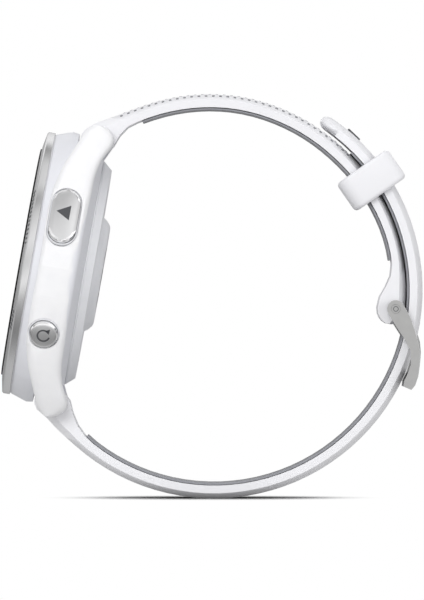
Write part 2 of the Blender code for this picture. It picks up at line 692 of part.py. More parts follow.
def build_button(name, angle, head, skins):
    """One button: cap and stem, return spring, stem seal and retaining clip."""
    turn = Matrix.Translation(Vector((0, 0, -BUTTON_DEPTH)) * MM) @ Matrix.Rotation(
        math.radians(angle), 4, "Z")
    axis = frame(f"{name}_axis", turn, head)
    face = band_radius(angle) + BUTTON_PROUD
    back = face - CAP_HEIGHT
    cap = prism(cap_outline(name, 0), back, face, "X")
    chamfer(cap, CAP_BEVEL, lambda co: co.x > face - 0.01)
    button = node(f"{name}_button", cap, skins["button"], axis)
    recess_end = face - RECESS_FACE
    combine(button, "recess", prism(circle(RECESS_RADIUS), back - 1, recess_end, "X"))
    clip_low = STEM_END + 0.25
    waist = STEM_RADIUS - 0.25
    stem = ((0, STEM_END), (STEM_RADIUS, STEM_END), (STEM_RADIUS, clip_low),
            (waist, clip_low), (waist, clip_low + CLIP_THICKNESS + 0.2),
            (STEM_RADIUS, clip_low + CLIP_THICKNESS + 0.2), (STEM_RADIUS, recess_end + 0.3),
            (0, recess_end + 0.3))
    combine(button, "stem", along_x(lathe(stem, 12)), "UNION")

    open_half = 40
    outline = arc((0, 0), CLIP_RADIUS, open_half, 360 - open_half, 14)
    outline += arc((0, 0), waist + 0.05, 360 - open_half, open_half, 10)
    node(f"{name}_clip", prism(outline, clip_low + 0.1, clip_low + 0.1 + CLIP_THICKNESS, "X"),
         skins["steel"], axis)
    seal_low = CAVITY_RADIUS + 0.6
    seal = ((STEM_RADIUS + SLIDE_GAP / 2, seal_low), (SEAL_RADIUS, seal_low),
            (SEAL_RADIUS, seal_low + 0.6), (STEM_RADIUS + SLIDE_GAP / 2, seal_low + 0.6))
    node(f"{name}_seal", along_x(lathe(seal, 16)), skins["rubber"], axis)
    spring_radius = (STEM_RADIUS + RECESS_RADIUS) / 2
    floor = band_radius(angle) - POCKET_DEPTH
    node(f"{name}_spring", coil(spring_radius, 0.15, floor + 0.1, recess_end - 0.1, 3),
         skins["steel"], axis)


def build_spring_bar(name, side, head, skins):
    """Quick-release bar: tube with one fixed tip, a sliding tip with its lever, a spring."""
    place = (0, side * BAR_Y, -BAR_DEPTH)
    tip_end = LUG_INNER + BAR_TIP_REACH
    stop = -1.0
    tube = ((0, tip_end), (BAR_TIP_RADIUS, tip_end), (BAR_TIP_RADIUS, BAR_TUBE_HALF),
            (BAR_RADIUS, BAR_TUBE_HALF), (BAR_RADIUS, -BAR_TUBE_HALF),
            (BAR_BORE, -BAR_TUBE_HALF), (BAR_BORE, stop), (0, stop))
    bar = node(f"{name}_spring_bar", along_x(lathe(tube, 16)), skins["steel"], head, place)
    combine(bar, "lever_slot", lever_box(side, LEVER_RADIUS + 0.15, 2.0))
    tip_inner = -LEVER_OFFSET + LEVER_RADIUS + 1.0
    tip = ((0, -tip_end), (BAR_TIP_RADIUS, -tip_end), (BAR_TIP_RADIUS, tip_inner),
           (0, tip_inner))
    slider = node(f"{name}_bar_tip", along_x(lathe(tip, 12)), skins["steel"], head, place)
    lever = prism(circle(LEVER_RADIUS, steps=10), 0, LEVER_LENGTH)
    combine(slider, "lever", moved(lever, lever_matrix(side)), "UNION")
    node(f"{name}_bar_spring", coil(0.42, 0.11, tip_inner + 0.1, stop - 0.1, 6),
         skins["steel"], head, place)


def lever_matrix(side):
    """Z towards the wrist, seen from the spring bar, at the lever's station."""
    bar = head_point(0, side * BAR_Y, -BAR_DEPTH)
    inward = Vector((LOOP_X - bar.x, 0, LOOP_Z - bar.z)).normalized()
    local = head_matrix().to_3x3().inverted() @ inward
    across = local.cross(Vector((1, 0, 0)))
    turned = Matrix((Vector((1, 0, 0)), -across, local)).transposed().to_4x4()
    return Matrix.Translation((-LEVER_OFFSET, 0, 0)) @ turned


def lever_box(side, half, length):
    """The slot that a lever slides in."""
    slot = block((-half, -half, 0), (half + BAR_TIP_REACH, half, length))
    return moved(slot, lever_matrix(side))


# ---- straps ----
def strap_bar(side):
    """Angle and height of a spring bar, seen from the loop's centre."""
    bar = head_point(0, side * BAR_Y, -BAR_DEPTH)
    return loop_place(bar.x, bar.z)


def strap_stations(side):
    """(angle, outer height, inner height, half width) along one strap, end to end."""
    bar_angle, bar_height = strap_bar(side)
    rise = bar_height + BOSS_RADIUS
    if side > 0:
        lie = [(a, UPPER_OUTER if h is None else h, t) for a, h, t in UPPER_LIE]
        ahead, end_length = -1, UPPER_END_LENGTH
    else:
        lie, ahead, end_length = list(LOWER_LIE), 1, LOWER_END_LENGTH
    lie.insert(0, (bar_angle, rise, 2 * BOSS_RADIUS - STRAP_THICKNESS))
    end_angle = lie[-1][0]
    degrees = math.degrees(1 / LOOP_RADIUS)

    stations = []
    for turn in (14, 32, 50, 68):
        back = BOSS_RADIUS * math.cos(math.radians(turn))
        half = BOSS_RADIUS * math.sin(math.radians(turn))
        stations.append((bar_angle - ahead * back * degrees, bar_height + half,
                         bar_height - half, HALF_STRAP))
    count = round(abs(end_angle - bar_angle) / degrees / STATION_PITCH)
    for i in range(count + 1):
        angle = bar_angle + (end_angle - bar_angle) * i / count
        outer = smooth_value(lie, 1, angle)
        inner = outer - STRAP_THICKNESS - smooth_value(lie, 2, angle)
        stations.append((angle, outer, inner, HALF_STRAP))
    middle = (outer + inner) / 2
    for turn in (66, 48, 30, 12):
        beyond = end_length * math.cos(math.radians(turn))
        half = (outer - inner) / 2 * math.sin(math.radians(turn))
        stations.append((end_angle + ahead * beyond * degrees, middle + half, middle - half,
                         HALF_STRAP))
    if side > 0:
        return stations
    return [tail_rounded(station, end_angle) for station in stations]


def tail_rounded(station, end_angle):
    """Narrow the long strap's end in plan."""
    angle, outer, inner, half_width = station
    left = math.radians(end_angle - angle) * LOOP_RADIUS + LOWER_END_LENGTH
    share = max(0.0, 1 - left / TAIL_ROUND_LENGTH)
    narrowed = half_width * (1 - (1 - TAIL_TIP_SHARE) * share ** 2.2)
    return angle, outer, inner, narrowed


def strap_loop(angle, outer, inner, half_width):
    """One cross-section of a strap, bevelled along its outer edges."""
    drop = min(EDGE_HEIGHT, 0.4 * (outer - inner))
    corners = ((-half_width, inner), (half_width, inner), (half_width, outer - drop),
               (half_width - EDGE_WIDTH, outer), (-half_width + EDGE_WIDTH, outer),
               (-half_width, outer - drop))
    points = []
    for y, height in corners:
        x, z = at_angle(angle, height)
        points.append((x, y, z))
    return points


def liner_loops(side, span, thickness):
    """Cross-sections of the grey liner along the strap's inner face."""
    stations = strap_stations(side)
    table = [(angle, inner) for angle, _, inner, _ in stations]
    count = round(math.radians(abs(span[1] - span[0])) * LOOP_RADIUS / STATION_PITCH)
    half = HALF_STRAP - LINER_SIDE
    loops = []
    for i in range(count + 1):
        angle = span[0] + (span[1] - span[0]) * i / count
        top = smooth_value(table, 1, angle) - LINER_GAP
        (x0, z0), (x1, z1) = at_angle(angle, top), at_angle(angle, top - thickness)
        loops.append([(x1, -half, z1), (x1, half, z1), (x0, half, z0), (x0, -half, z0)])
    return loops


def hole_cutters():
    """Slots through the long strap, the used one drawn open by the tongue."""
    shapes = []
    for i in range(HOLE_COUNT):
        along = HOLE_FIRST + i * HOLE_PITCH
        used = i == USED_HOLE_INDEX
        centre = USED_HOLE if used else along
        length = USED_HOLE_LENGTH if used else HOLE_LENGTH
        corner = HOLE_CORNER / 2 if used else HOLE_CORNER
        outline = rounded_box(length / 2, HOLE_WIDTH / 2, corner, 2)
        slot = prism(outline, -STRAP_THICKNESS - 2, 2)
        x, z = on_loop(centre, 0)
        turn = Matrix.Rotation(math.pi / 2 + centre / LOOP_RADIUS, 4, "Y")
        shapes.append(moved(slot, Matrix.Translation((x, 0, z)) @ turn))
    return joined(shapes)


def build_straps(head, skins):
    """Both straps with their liners, bores and holes."""
    pin_x, pin_z = on_loop(PIN_ALONG, PIN_HEIGHT)
    for name, side, span, thick in (("upper_strap", 1, UPPER_LINER_SPAN, UPPER_LINER),
                                    ("lower_strap", -1, LOWER_LINER_SPAN, LOWER_LINER)):
        strap = node(name, skin([strap_loop(*s) for s in strap_stations(side)]),
                     skins["silicone"])
        liner = node(f"{name}_liner", skin(liner_loops(side, span, thick)), skins["liner"])
        place = (side * BAR_Y, -BAR_DEPTH)
        combine(strap, "bar_bore", prism(circle(BAR_RADIUS + GAP, place, 16), -HALF_STRAP - 1,
                                         HALF_STRAP + 1, "X"), parent=head)
        slot = moved(lever_box(side, LEVER_RADIUS + 0.3, 5.0),
                     Matrix.Translation((0, side * BAR_Y, -BAR_DEPTH)))
        combine(strap, "lever_slot", slot, parent=head)
        if side < 0:
            combine(strap, "holes", hole_cutters())
            combine(liner, "holes", hole_cutters())
            continue
        combine(strap, "pin_bore", prism(circle(PIN_RADIUS + STRAP_PIN_GAP, (pin_x, pin_z), 16),
                                         -HALF_STRAP - 1, HALF_STRAP + 1, "Y"))
        half = TONGUE_WIDTH / 2 + TONGUE_GAP
        start = PIN_ALONG - TONGUE_RING_RADIUS - TONGUE_GAP
        corners = ((start, 0), (start, -9), (start + 10, -9), (start + 10, 0))
        combine(strap, "tongue_notch", prism([on_loop(a, h) for a, h in corners],
                                             -half, half, "Y"))


# ---- buckle and keeper ----
def ribbon(line, start, head_radius):
    """Outline of a bar: a round head at the start, then a line with widths."""
    points = [Vector(on_loop(a, h)) for a, h, _ in line]
    left, right = [], []
    for i, (point, (_, _, width)) in enumerate(zip(points, line)):
        before = points[i - 1] if i else start
        after = points[min(i + 1, len(points) - 1)]
        heading = (after - before).normalized()
        normal = Vector((-heading.y, heading.x)) * width / 2
        left.append(point + normal)
        right.append(point - normal)
    first = points[0] - start
    side = math.degrees(math.atan2(first.y, first.x)) + 90
    return arc(start, head_radius, side, side + 180, 10) + right + left[::-1]


def relative(outline, origin):
    """Move an outline so that the origin is at zero."""
    return [(x - origin[0], z - origin[1]) for x, z in outline]


def build_buckle(skins):
    """Buckle frame, tongue and pin, with the pin's axis as their origin."""
    pin = Vector(on_loop(PIN_ALONG, PIN_HEIGHT))
    place = (pin.x, 0, pin.y)
    outline = relative(ribbon(ARM_LINE, pin, ARM_HEAD_RADIUS), pin)
    buckle = node("buckle_frame", prism(outline, -BUCKLE_OUTER, BUCKLE_OUTER, "Y"),
                  skins["steel"], None, place)
    window = [on_loop(a, h) for a, h in ((PIN_ALONG - 6, 9), (PIN_ALONG - 6, -12),
                                         (CROSSBAR_ALONG, -12), (CROSSBAR_ALONG, 9))]
    combine(buckle, "window", prism(relative(window, pin), -BUCKLE_INNER, BUCKLE_INNER, "Y"))
    half = TONGUE_WIDTH / 2 + TONGUE_GAP
    notch = [on_loop(a, h) for a, h in ((CROSSBAR_ALONG - 2, 9),
                                        (CROSSBAR_ALONG - 2, NOTCH_HEIGHT),
                                        (ARM_LINE[-1][0] + 2, NOTCH_HEIGHT),
                                        (ARM_LINE[-1][0] + 2, 9))]
    combine(buckle, "tongue_seat", prism(relative(notch, pin), -half, half, "Y"))
    combine(buckle, "pin_holes", prism(circle(PIN_RADIUS + PIN_GAP, steps=16),
                                       -BUCKLE_OUTER - 1, BUCKLE_OUTER + 1, "Y"))

    line = [(a, h, TONGUE_THICKNESS) for a, h in TONGUE_LINE]
    tongue_outline = relative(ribbon(line, pin, TONGUE_RING_RADIUS), pin)
    tongue = node("buckle_tongue", prism(tongue_outline, -TONGUE_WIDTH / 2, TONGUE_WIDTH / 2,
                                         "Y"), skins["steel"], None, place)
    combine(tongue, "pin_hole", prism(circle(PIN_RADIUS + PIN_GAP, steps=16),
                                      -TONGUE_WIDTH, TONGUE_WIDTH, "Y"))
    node("buckle_pin", prism(circle(PIN_RADIUS, steps=16), -BUCKLE_OUTER, BUCKLE_OUTER, "Y"),
         skins["steel"], None, place)


def build_keeper(skins):
    """Free loop round both straps, its origin on the loop's centre."""
    stack_inner = UPPER_OUTER - STRAP_THICKNESS - LINER_GAP - UPPER_LINER
    low, high = stack_inner - KEEPER_GAP, KEEPER_GAP
    half_width = HALF_STRAP + KEEPER_GAP
    middle = LOOP_RADIUS + (low + high) / 2
    rim = []
    for turn in (0, 30, 60, 90):
        lean = math.radians(turn)
        inset = KEEPER_BEVEL * (1 - math.sin(lean))
        outline = rounded_box((high - low) / 2 + KEEPER_WALL - inset,
                              half_width + KEEPER_SIDE_WALL - inset, KEEPER_CORNER - inset, 3,
                              (middle, 0))
        rim.append((outline, KEEPER_LENGTH / 2 - KEEPER_BEVEL * (1 - math.cos(lean))))
    loops = [[(x, y, -z) for x, y in outline] for outline, z in rim]
    loops += [[(x, y, z) for x, y in outline] for outline, z in rim[::-1]]
    opening = rounded_box((high - low) / 2, half_width, 0.6, 2, (middle, 0))
    turn = Matrix.Rotation(-math.radians(KEEPER_ANGLE), 4, "Y")
    place = (LOOP_X, 0, LOOP_Z)
    keeper = node("keeper", moved(skin(loops), turn), skins["silicone"], None, place)
    hole = prism(opening, -KEEPER_LENGTH, KEEPER_LENGTH)
    combine(keeper, "opening", moved(hole, turn))


def main():
    """Build the whole watch."""
    clear_scene()
    skins = {
        "case": material("white_polymer", "#f4f4f5", 0.35),
        "bezel": material("brushed_titanium", "#a9a8a6", 0.35, 1.0),
        "glass": material("black_glass", "#0b0c0e", 0.08),
        "rubber": material("black_rubber", "#1a1a1a", 0.8),
        "display": material("display_glass", "#101216", 0.2),
        "dark_plastic": material("dark_plastic", "#2a2b2d", 0.5),
        "board": material("circuit_board", "#1f4a33", 0.5),
        "ceramic": material("antenna_ceramic", "#cfc6b0", 0.6),
        "battery": material("battery_foil", "#9aa0a6", 0.4, 0.6),
        "steel": material("satin_steel", "#b9b9b8", 0.3, 1.0),
        "cover": material("grey_polymer", "#d4d5da", 0.4),
        "gold": material("gold_plate", "#d8b25a", 0.25, 1.0),
        "button": material("button_metal", "#c2c2c1", 0.3, 1.0),
        "silicone": material("white_silicone", "#f3f3f5", 0.55),
        "liner": material("grey_silicone", "#8b8c8f", 0.65),
    }
    head = frame("watch_head", head_matrix())
    build_case(head, skins["case"])
    build_bezel(head, skins["bezel"])
    build_lens(head, skins["glass"], skins["rubber"])
    build_insides(head, skins)
    build_rear(head, skins)
    for name, angle in BUTTONS:
        build_button(name, angle, head, skins)
    for name, side in (("upper", 1), ("lower", -1)):
        build_spring_bar(name, side, head, skins)
    build_straps(head, skins)
    build_buckle(skins)
    build_keeper(skins)
    bpy.context.view_layer.update()


main()
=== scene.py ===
# %% [markdown]
# # A GPS running watch, buckled and standing on its strap
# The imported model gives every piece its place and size. This file gives the pieces their
# looks: finer edges, satin plastics, brushed metal, silicone, and a studio to show them in.
# Sizes are written in millimetres and multiplied by MM, because Blender works in metres.

import json
import math

import bmesh
import bpy
from mathutils import Matrix, Vector
from mathutils.bvhtree import BVHTree


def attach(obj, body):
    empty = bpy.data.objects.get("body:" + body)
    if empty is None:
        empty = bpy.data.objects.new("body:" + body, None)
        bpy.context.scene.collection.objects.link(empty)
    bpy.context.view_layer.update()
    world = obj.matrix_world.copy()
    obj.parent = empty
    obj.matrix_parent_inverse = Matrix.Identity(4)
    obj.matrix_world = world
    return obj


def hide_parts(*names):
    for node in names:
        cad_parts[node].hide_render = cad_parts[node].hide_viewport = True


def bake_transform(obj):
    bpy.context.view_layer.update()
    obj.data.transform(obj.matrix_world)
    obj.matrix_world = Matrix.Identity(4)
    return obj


MM = 0.001
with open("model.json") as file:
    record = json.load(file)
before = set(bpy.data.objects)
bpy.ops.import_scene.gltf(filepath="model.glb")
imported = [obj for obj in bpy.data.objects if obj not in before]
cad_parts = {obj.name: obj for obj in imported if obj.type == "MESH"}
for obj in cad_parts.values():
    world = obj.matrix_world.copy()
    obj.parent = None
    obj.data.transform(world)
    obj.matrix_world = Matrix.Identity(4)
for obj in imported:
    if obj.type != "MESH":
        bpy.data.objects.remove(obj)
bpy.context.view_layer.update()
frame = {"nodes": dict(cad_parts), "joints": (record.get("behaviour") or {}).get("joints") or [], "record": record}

# %% [markdown]
# The watch head leans back, and the strap is a loop. Both get a frame of their own, read from
# the model: the dial's from the glass face, the loop's from the joint that the keeper
# slides round on. A shape drawn in one of them lands in place with one matrix.

# %% The dial's frame and the loop's frame
mounts = {mount["name"]: mount for mount in frame["record"]["mounts"]}
joints = {joint["name"]: joint for joint in frame["joints"]}

GLASS_TOP = 2.1             # glass face above the bezel's underside
dial_normal = Vector(mounts["glass_face"]["axis"]).normalized()
to_three = Vector((0, -1, 0))
to_twelve = dial_normal.cross(to_three)
dial_axes = Matrix((to_three, to_twelve, dial_normal)).transposed()
dial_centre = Vector(mounts["glass_face"]["pos_m"]) - dial_normal * GLASS_TOP * MM
dial = Matrix.Translation(dial_centre) @ dial_axes.to_4x4()

loop_centre = Vector(joints["keeper_slide_round"]["pos_m"])
LOOP_RADIUS = 36.85         # outer face of the long strap
pin_centre = Vector(joints["buckle_hinge"]["pos_m"])


def on_loop(angle, height=0.0, y=0.0):
    """Frame on the strap loop: X out of the strap, Y across it, Z along it."""
    turn = Matrix.Rotation(-math.radians(angle), 4, "Y")
    out = Matrix.Translation(((LOOP_RADIUS + height) * MM, y * MM, 0))
    return Matrix.Translation(loop_centre) @ turn @ out


print("the dial leans back", round(math.degrees(math.asin(dial_normal.z)), 1), "degrees")

# %% [markdown]
# Colours are picked as sRGB hex values, the way a paint program shows them. Blender mixes
# light in linear values, so one function turns a code into those. Materials are small
# networks, and a second function adds each node with its settings and links.

# %% Colour, node and material helpers
def linear(code):
    """sRGB hex code to linear RGBA."""
    shares = [int(code[i:i + 2], 16) / 255 for i in (1, 3, 5)]
    return [c / 12.92 if c <= 0.04045 else ((c + 0.055) / 1.055) ** 2.4 for c in shares] + [1]


def add(tree, kind, values=None, links=None, **settings):
    """Add one shader node, set its sockets and settings, and link its inputs."""
    node = tree.nodes.new("ShaderNode" + kind)
    for name, value in settings.items():
        setattr(node, name, value)
    for name, value in (values or {}).items():
        node.inputs[name].default_value = value
    for name, source in (links or {}).items():
        tree.links.new(source, node.inputs[name])
    return node


def blank(name, colour, roughness, metallic=0.0):
    """A Principled material with its plain values, ready for its pattern."""
    made = bpy.data.materials.new(name)
    made.use_nodes = True
    shader = made.node_tree.nodes["Principled BSDF"]
    shader.inputs["Base Color"].default_value = linear(colour)
    shader.inputs["Roughness"].default_value = roughness
    shader.inputs["Metallic"].default_value = metallic
    return made, made.node_tree, shader


MOTTLE = 9                  # a patch of uneven gloss is this many grains wide
BUMP_STRENGTH = 0.6


def grain(tree, shader, place, size, depth, rough_low, rough_high, tones=None):
    """Give a finish its grain: bump, uneven gloss and, if asked, two near tones."""
    fine = add(tree, "TexNoise", {"Scale": 1 / (size * MM), "Detail": 3.0}, {"Vector": place})
    broad = add(tree, "TexNoise", {"Scale": 1 / (MOTTLE * size * MM), "Detail": 2.0},
                {"Vector": place})
    bump = add(tree, "Bump", {"Strength": BUMP_STRENGTH, "Distance": depth * MM},
               {"Height": fine.outputs["Fac"]})
    tree.links.new(bump.outputs["Normal"], shader.inputs["Normal"])
    gloss = add(tree, "MapRange", {"To Min": rough_low, "To Max": rough_high},
                {"Value": broad.outputs["Fac"]})
    tree.links.new(gloss.outputs["Result"], shader.inputs["Roughness"])
    if tones:
        tint = add(tree, "Mix", {"A": linear(tones[0]), "B": linear(tones[1])},
                   {"Factor": broad.outputs["Fac"]}, data_type="RGBA")
        tree.links.new(tint.outputs["Result"], shader.inputs["Base Color"])


def moulded(name, colour, size, depth, rough, tones=None, metallic=0.0):
    """A moulded or blasted finish: the same fine grain in every direction."""
    made, tree, shader = blank(name, colour, sum(rough) / 2, metallic)
    place = add(tree, "TexCoord").outputs["Object"]
    grain(tree, shader, place, size, depth, *rough, tones)
    return made


finishes = {}


def stock(name, *look):
    """Make a moulded finish and keep it under the name of its slot."""
    finishes[name] = moulded(name, *look)


print("the lightest white is", [round(c, 3) for c in linear("#f4f4f5")[:3]], "in linear light")

# %% [markdown]
# The case is white reinforced polymer with a fine spark-eroded grain. Real grain is about
# 0.05 mm, too fine to show at arm's length, so it is drawn at 0.18 mm and very shallow. The
# round shell that shows between bezel and side band is drawn a shade greyer than the band:
# this is painted shade for its slope, which turns away from the light. A Mapping node turns
# object coordinates into the dial's frame, and the material tells shell from band by how far
# out of the shell's cone a point lies.

# %% Case polymer, with painted shade on its shell
def dial_coordinates(tree):
    """Distance from the dial's axis, and height along it, as two sockets."""
    place = add(tree, "TexCoord").outputs["Object"]
    mapped = add(tree, "Mapping", {"Location": dial.translation, "Rotation": dial.to_euler()},
                 {"Vector": place}, vector_type="TEXTURE").outputs["Vector"]
    flat = add(tree, "VectorMath", {1: (1, 1, 0)}, {0: mapped}, operation="MULTIPLY")
    radius = add(tree, "VectorMath", None, {0: flat.outputs["Vector"]}, operation="LENGTH")
    height = add(tree, "SeparateXYZ", None, {"Vector": mapped})
    return radius.outputs["Value"], height.outputs["Z"]


SHELL_TOP_RADIUS = 23.3
SHELL_TOP = -0.25
SHELL_DROP = 3.0            # length of cone that is measured
SHELL_SLOPE = 1 / 3
stock("white_polymer", "#f1f1f3", 0.18, 0.006, (0.36, 0.44), ("#efeff1", "#f4f4f5"))
tree = finishes["white_polymer"].node_tree
radius, height = dial_coordinates(tree)
cone = {"From Min": SHELL_TOP, "From Max": SHELL_TOP - SHELL_DROP, "To Min": SHELL_TOP_RADIUS,
        "To Max": SHELL_TOP_RADIUS + SHELL_DROP * SHELL_SLOPE}
drop = add(tree, "MapRange", {end: length * MM for end, length in cone.items()},
           {"Value": height})
proud = add(tree, "Math", None, {0: radius, 1: drop.outputs["Result"]}, operation="SUBTRACT")
on_band = add(tree, "MapRange", {"From Min": 0.02 * MM, "From Max": 0.25 * MM},
              {"Value": proud.outputs["Value"]}, interpolation_type="SMOOTHSTEP")
shader = tree.nodes["Principled BSDF"]
band_tone = shader.inputs["Base Color"].links[0].from_socket
# painted shade: the shell gets a greyer tone than the band, standing in for less light on its slope
shell_painted_shade = add(tree, "Mix", {"A": linear("#e4e5ea")},
               {"Factor": on_band.outputs["Result"], "B": band_tone}, data_type="RGBA")
tree.links.new(shell_painted_shade.outputs["Result"], shader.inputs["Base Color"])
print("the shell widens by", round(SHELL_DROP * SHELL_SLOPE, 2), "mm on its way down")

# %% [markdown]
# The back plate is the same polymer in pale grey. Inside, frames and motors are plain dark
# plastic, and the display is a black panel with a harder, smoother face.

# %% Other plastics
stock("grey_polymer", "#e6e7eb", 0.18, 0.006, (0.36, 0.46), ("#e3e4e8", "#eaebee"))
stock("dark_plastic", "#2a2b2d", 0.25, 0.01, (0.45, 0.6), ("#27282a", "#303134"))
stock("display_glass", "#101216", 0.5, 0.001, (0.12, 0.2), ("#0e1014", "#14171c"))
print(len(finishes), "plastics")

# %% [markdown]
# Liquid silicone rubber comes out of a polished mould nearly smooth, then picks up a soft,
# dry bloom. A high roughness, a little sheen and a faint 0.3 mm mottle give that. The inner
# layer is grey and a little drier.

# %% Silicone
SHEEN = 0.12
SHEEN_SPREAD = 0.5
stock("white_silicone", "#ebebee", 0.3, 0.0012, (0.5, 0.58), ("#e9e9ec", "#ededf0"))
stock("grey_silicone", "#7d7e82", 0.3, 0.012, (0.6, 0.75), ("#75767a", "#86878b"))
stock("black_rubber", "#1a1a1a", 0.3, 0.012, (0.7, 0.85), ("#161616", "#212121"))
# painted light: a paler copy of the liner grey for its side faces
liner_side_painted_light = moulded("liner_painted_light", "#929398", 0.3, 0.01, (0.55, 0.7), ("#8c8d92", "#999a9f"))
for name in ("white_silicone", "grey_silicone"):
    shader = finishes[name].node_tree.nodes["Principled BSDF"]
    shader.inputs["Sheen Weight"].default_value = SHEEN
    shader.inputs["Sheen Roughness"].default_value = SHEEN_SPREAD
print("silicone with a sheen of", SHEEN)

# %% [markdown]
# The bezel is titanium, turned and then brushed round the dial. Brushing leaves hair lines
# that run with the turning, so the pattern has to know how far a point is from the dial's
# axis. Radius and height are the only inputs of the noise, which makes it run in circles.
# Real lines are some 0.03 mm apart and are drawn here at 0.14 mm.

# %% Brushed titanium
BRUSH_PITCH = 0.14
titanium, tree, shader = blank("brushed_titanium", "#d4d4d4", 0.24, 1.0)
radius, height = dial_coordinates(tree)
rings = add(tree, "CombineXYZ", None, {"X": radius, "Y": height})
grain(tree, shader, rings.outputs["Vector"], BRUSH_PITCH, 0.003, 0.16, 0.3,
      ("#cccccc", "#dcdcdc"))
finishes["brushed_titanium"] = titanium
print("brush lines", BRUSH_PITCH, "mm apart")

# %% [markdown]
# Buckle, pins and screws are stainless steel with a satin, bead-blasted finish. The button
# caps are steel too: their faces are blasted and their bevels polished, which is what draws
# the bright rim round each button. Contacts are gold-plated, and the battery is in foil.

# %% Steels and small metals
stock("satin_steel", "#b7b7b6", 0.15, 0.004, (0.26, 0.36), ("#b2b2b1", "#bcbcba"), 1.0)
stock("button_metal", "#dcdcdc", 0.15, 0.003, (0.3, 0.4), ("#d8d8d8", "#e0e0e0"), 1.0)
stock("gold_plate", "#d8b25a", 0.2, 0.003, (0.2, 0.32), ("#d0a850", "#dfba66"), 1.0)
stock("battery_foil", "#9aa0a6", 0.8, 0.02, (0.3, 0.5), ("#90969c", "#a4aab0"), 0.6)
polished = moulded("polished_bevel", "#e6e6e6", 0.4, 0.001, (0.08, 0.16),
                   ("#e2e2e2", "#ececec"), 1.0)
print("polished bevels and", len(finishes), "finishes so far")

# %% [markdown]
# Inside the head sit a green circuit board and a ceramic antenna. They are hidden while the
# watch is closed, and get simple but real finishes for whoever takes it apart.

# %% Board and ceramic
stock("circuit_board", "#1f4a33", 0.6, 0.01, (0.4, 0.55), ("#1b4430", "#255439"))
stock("antenna_ceramic", "#cfc6b0", 0.25, 0.01, (0.55, 0.7), ("#c9bfa8", "#d6cdb8"))
print("board and antenna bring the finishes to", len(finishes))

# %% [markdown]
# The cover glass is clear in the middle and printed black round its edge and down its rim,
# so from the side it reads as a fine black line. The window over the optical sensor is dark
# glass as well, and engraved signs are filled with a dark, dull ink.

# %% Glasses and ink
GLASS_IOR = 1.5
EDGE_GLOSS = 0.15           # a ground edge mirrors little
clear_glass = moulded("clear_cover_glass", "#ffffff", 2.0, 0.0002, (0.02, 0.04))
shader = clear_glass.node_tree.nodes["Principled BSDF"]
shader.inputs["Transmission Weight"].default_value = 1.0
shader.inputs["IOR"].default_value = GLASS_IOR
black_glass = moulded("black_printed_glass", "#0a0b0d", 2.0, 0.0002, (0.06, 0.12),
                      ("#08090b", "#0d0e10"))
finishes["lens_glass"] = black_glass
black_edge = moulded("ground_glass_edge", "#0b0c0e", 0.2, 0.002, (0.5, 0.6),
                     ("#090a0b", "#0e0f11"))
shader = black_edge.node_tree.nodes["Principled BSDF"]
shader.inputs["Specular IOR Level"].default_value = EDGE_GLOSS
stock("sensor_glass", "#111216", 2.0, 0.0002, (0.05, 0.1), ("#0f1014", "#15161b"))
ink = moulded("dark_engraving", "#47484b", 0.2, 0.004, (0.5, 0.65), ("#434447", "#4c4d50"))
print("clear glass bends light with an index of", GLASS_IOR)

# %% [markdown]
# Every node of the model first gets the finish of its slot. Pieces that need finer
# shapes are made after that and stand in for their nodes.

# %% Dress the model's own nodes
slots = {part["node"]: part["material_slot"] for part in frame["record"]["subparts"]}
for name, node in frame["nodes"].items():
    node.data.materials.clear()
    node.data.materials.append(finishes[slots[name]])
body_of = {name: body for body, names in frame["record"]["behaviour"]["bodies"].items()
           for name in names}
print("dressed", len(slots), "nodes in", len(set(slots.values())), "slots")

# %% [markdown]
# A node of the model is right in shape but has sharp edges, and no real edge is sharp: it is
# moulded, tumbled or broken with a file, and catches a thin line of light. So the visible
# nodes are copied, their loose triangles merged into whole faces, and a small Bevel put on
# every edge that turns enough.

# %% Soft-edged copies of nodes
SHARP = math.radians(32)    # edges that turn more than this are shaded hard
WELD_GAP = 0.002            # corners nearer than this are one corner
FLAT = math.radians(0.6)    # faces that turn less than this are one face


def finish_piece(name, mesh, finish, body, *nodes):
    """Make a mesh an object, dress it, and let it ride on a body and stand for nodes."""
    piece = bpy.data.objects.new(name, mesh)
    bpy.context.collection.objects.link(piece)
    for material in finish if isinstance(finish, (list, tuple)) else [finish]:
        mesh.materials.append(material)
    mesh.shade_smooth()
    mesh.set_sharp_from_angle(angle=SHARP)
    if body:
        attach(piece, body)
    if nodes:
        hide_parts(*nodes)
    return piece


def welded(node):
    """A copy of a node's mesh with its loose triangles joined at their corners."""
    shape = bmesh.new()
    shape.from_mesh(frame["nodes"][node].data)
    bmesh.ops.remove_doubles(shape, verts=shape.verts, dist=WELD_GAP * MM)
    return shape


def merged(node):
    """A copy of a node's mesh as whole faces."""
    shape = welded(node)
    bmesh.ops.dissolve_limit(shape, angle_limit=FLAT, verts=shape.verts, edges=shape.edges)
    return shape


def to_mesh(shape, name):
    """Turn a bmesh into a mesh."""
    mesh = bpy.data.meshes.new(name)
    shape.to_mesh(mesh)
    shape.free()
    return mesh


def soften(piece, width, segments=3, angle=38):
    """Round a piece's edges with a Bevel modifier."""
    bevel = piece.modifiers.new("soft_edges", "BEVEL")
    bevel.width = width * MM
    bevel.segments = segments
    bevel.limit_method = "ANGLE"
    bevel.angle_limit = math.radians(angle)
    bevel.use_clamp_overlap = True
    bevel.harden_normals = True
    return piece


def soft_copy(node, width):
    """Copy a node with soft edges under the same finish."""
    mesh = to_mesh(merged(node), f"{node}_soft")
    piece = finish_piece(f"{node}_soft", mesh, finishes[slots[node]], body_of[node], node)
    return soften(piece, width)


EDGE_WIDTHS = {"mid_case": 0.12, "rear_cover": 0.12, "keeper": 0.2, "buckle_frame": 0.22,
               "buckle_tongue": 0.18, "sensor_window": 0.06}
soft = {node: soft_copy(node, width) for node, width in EDGE_WIDTHS.items()}
print("copied", len(soft), "nodes with soft edges")
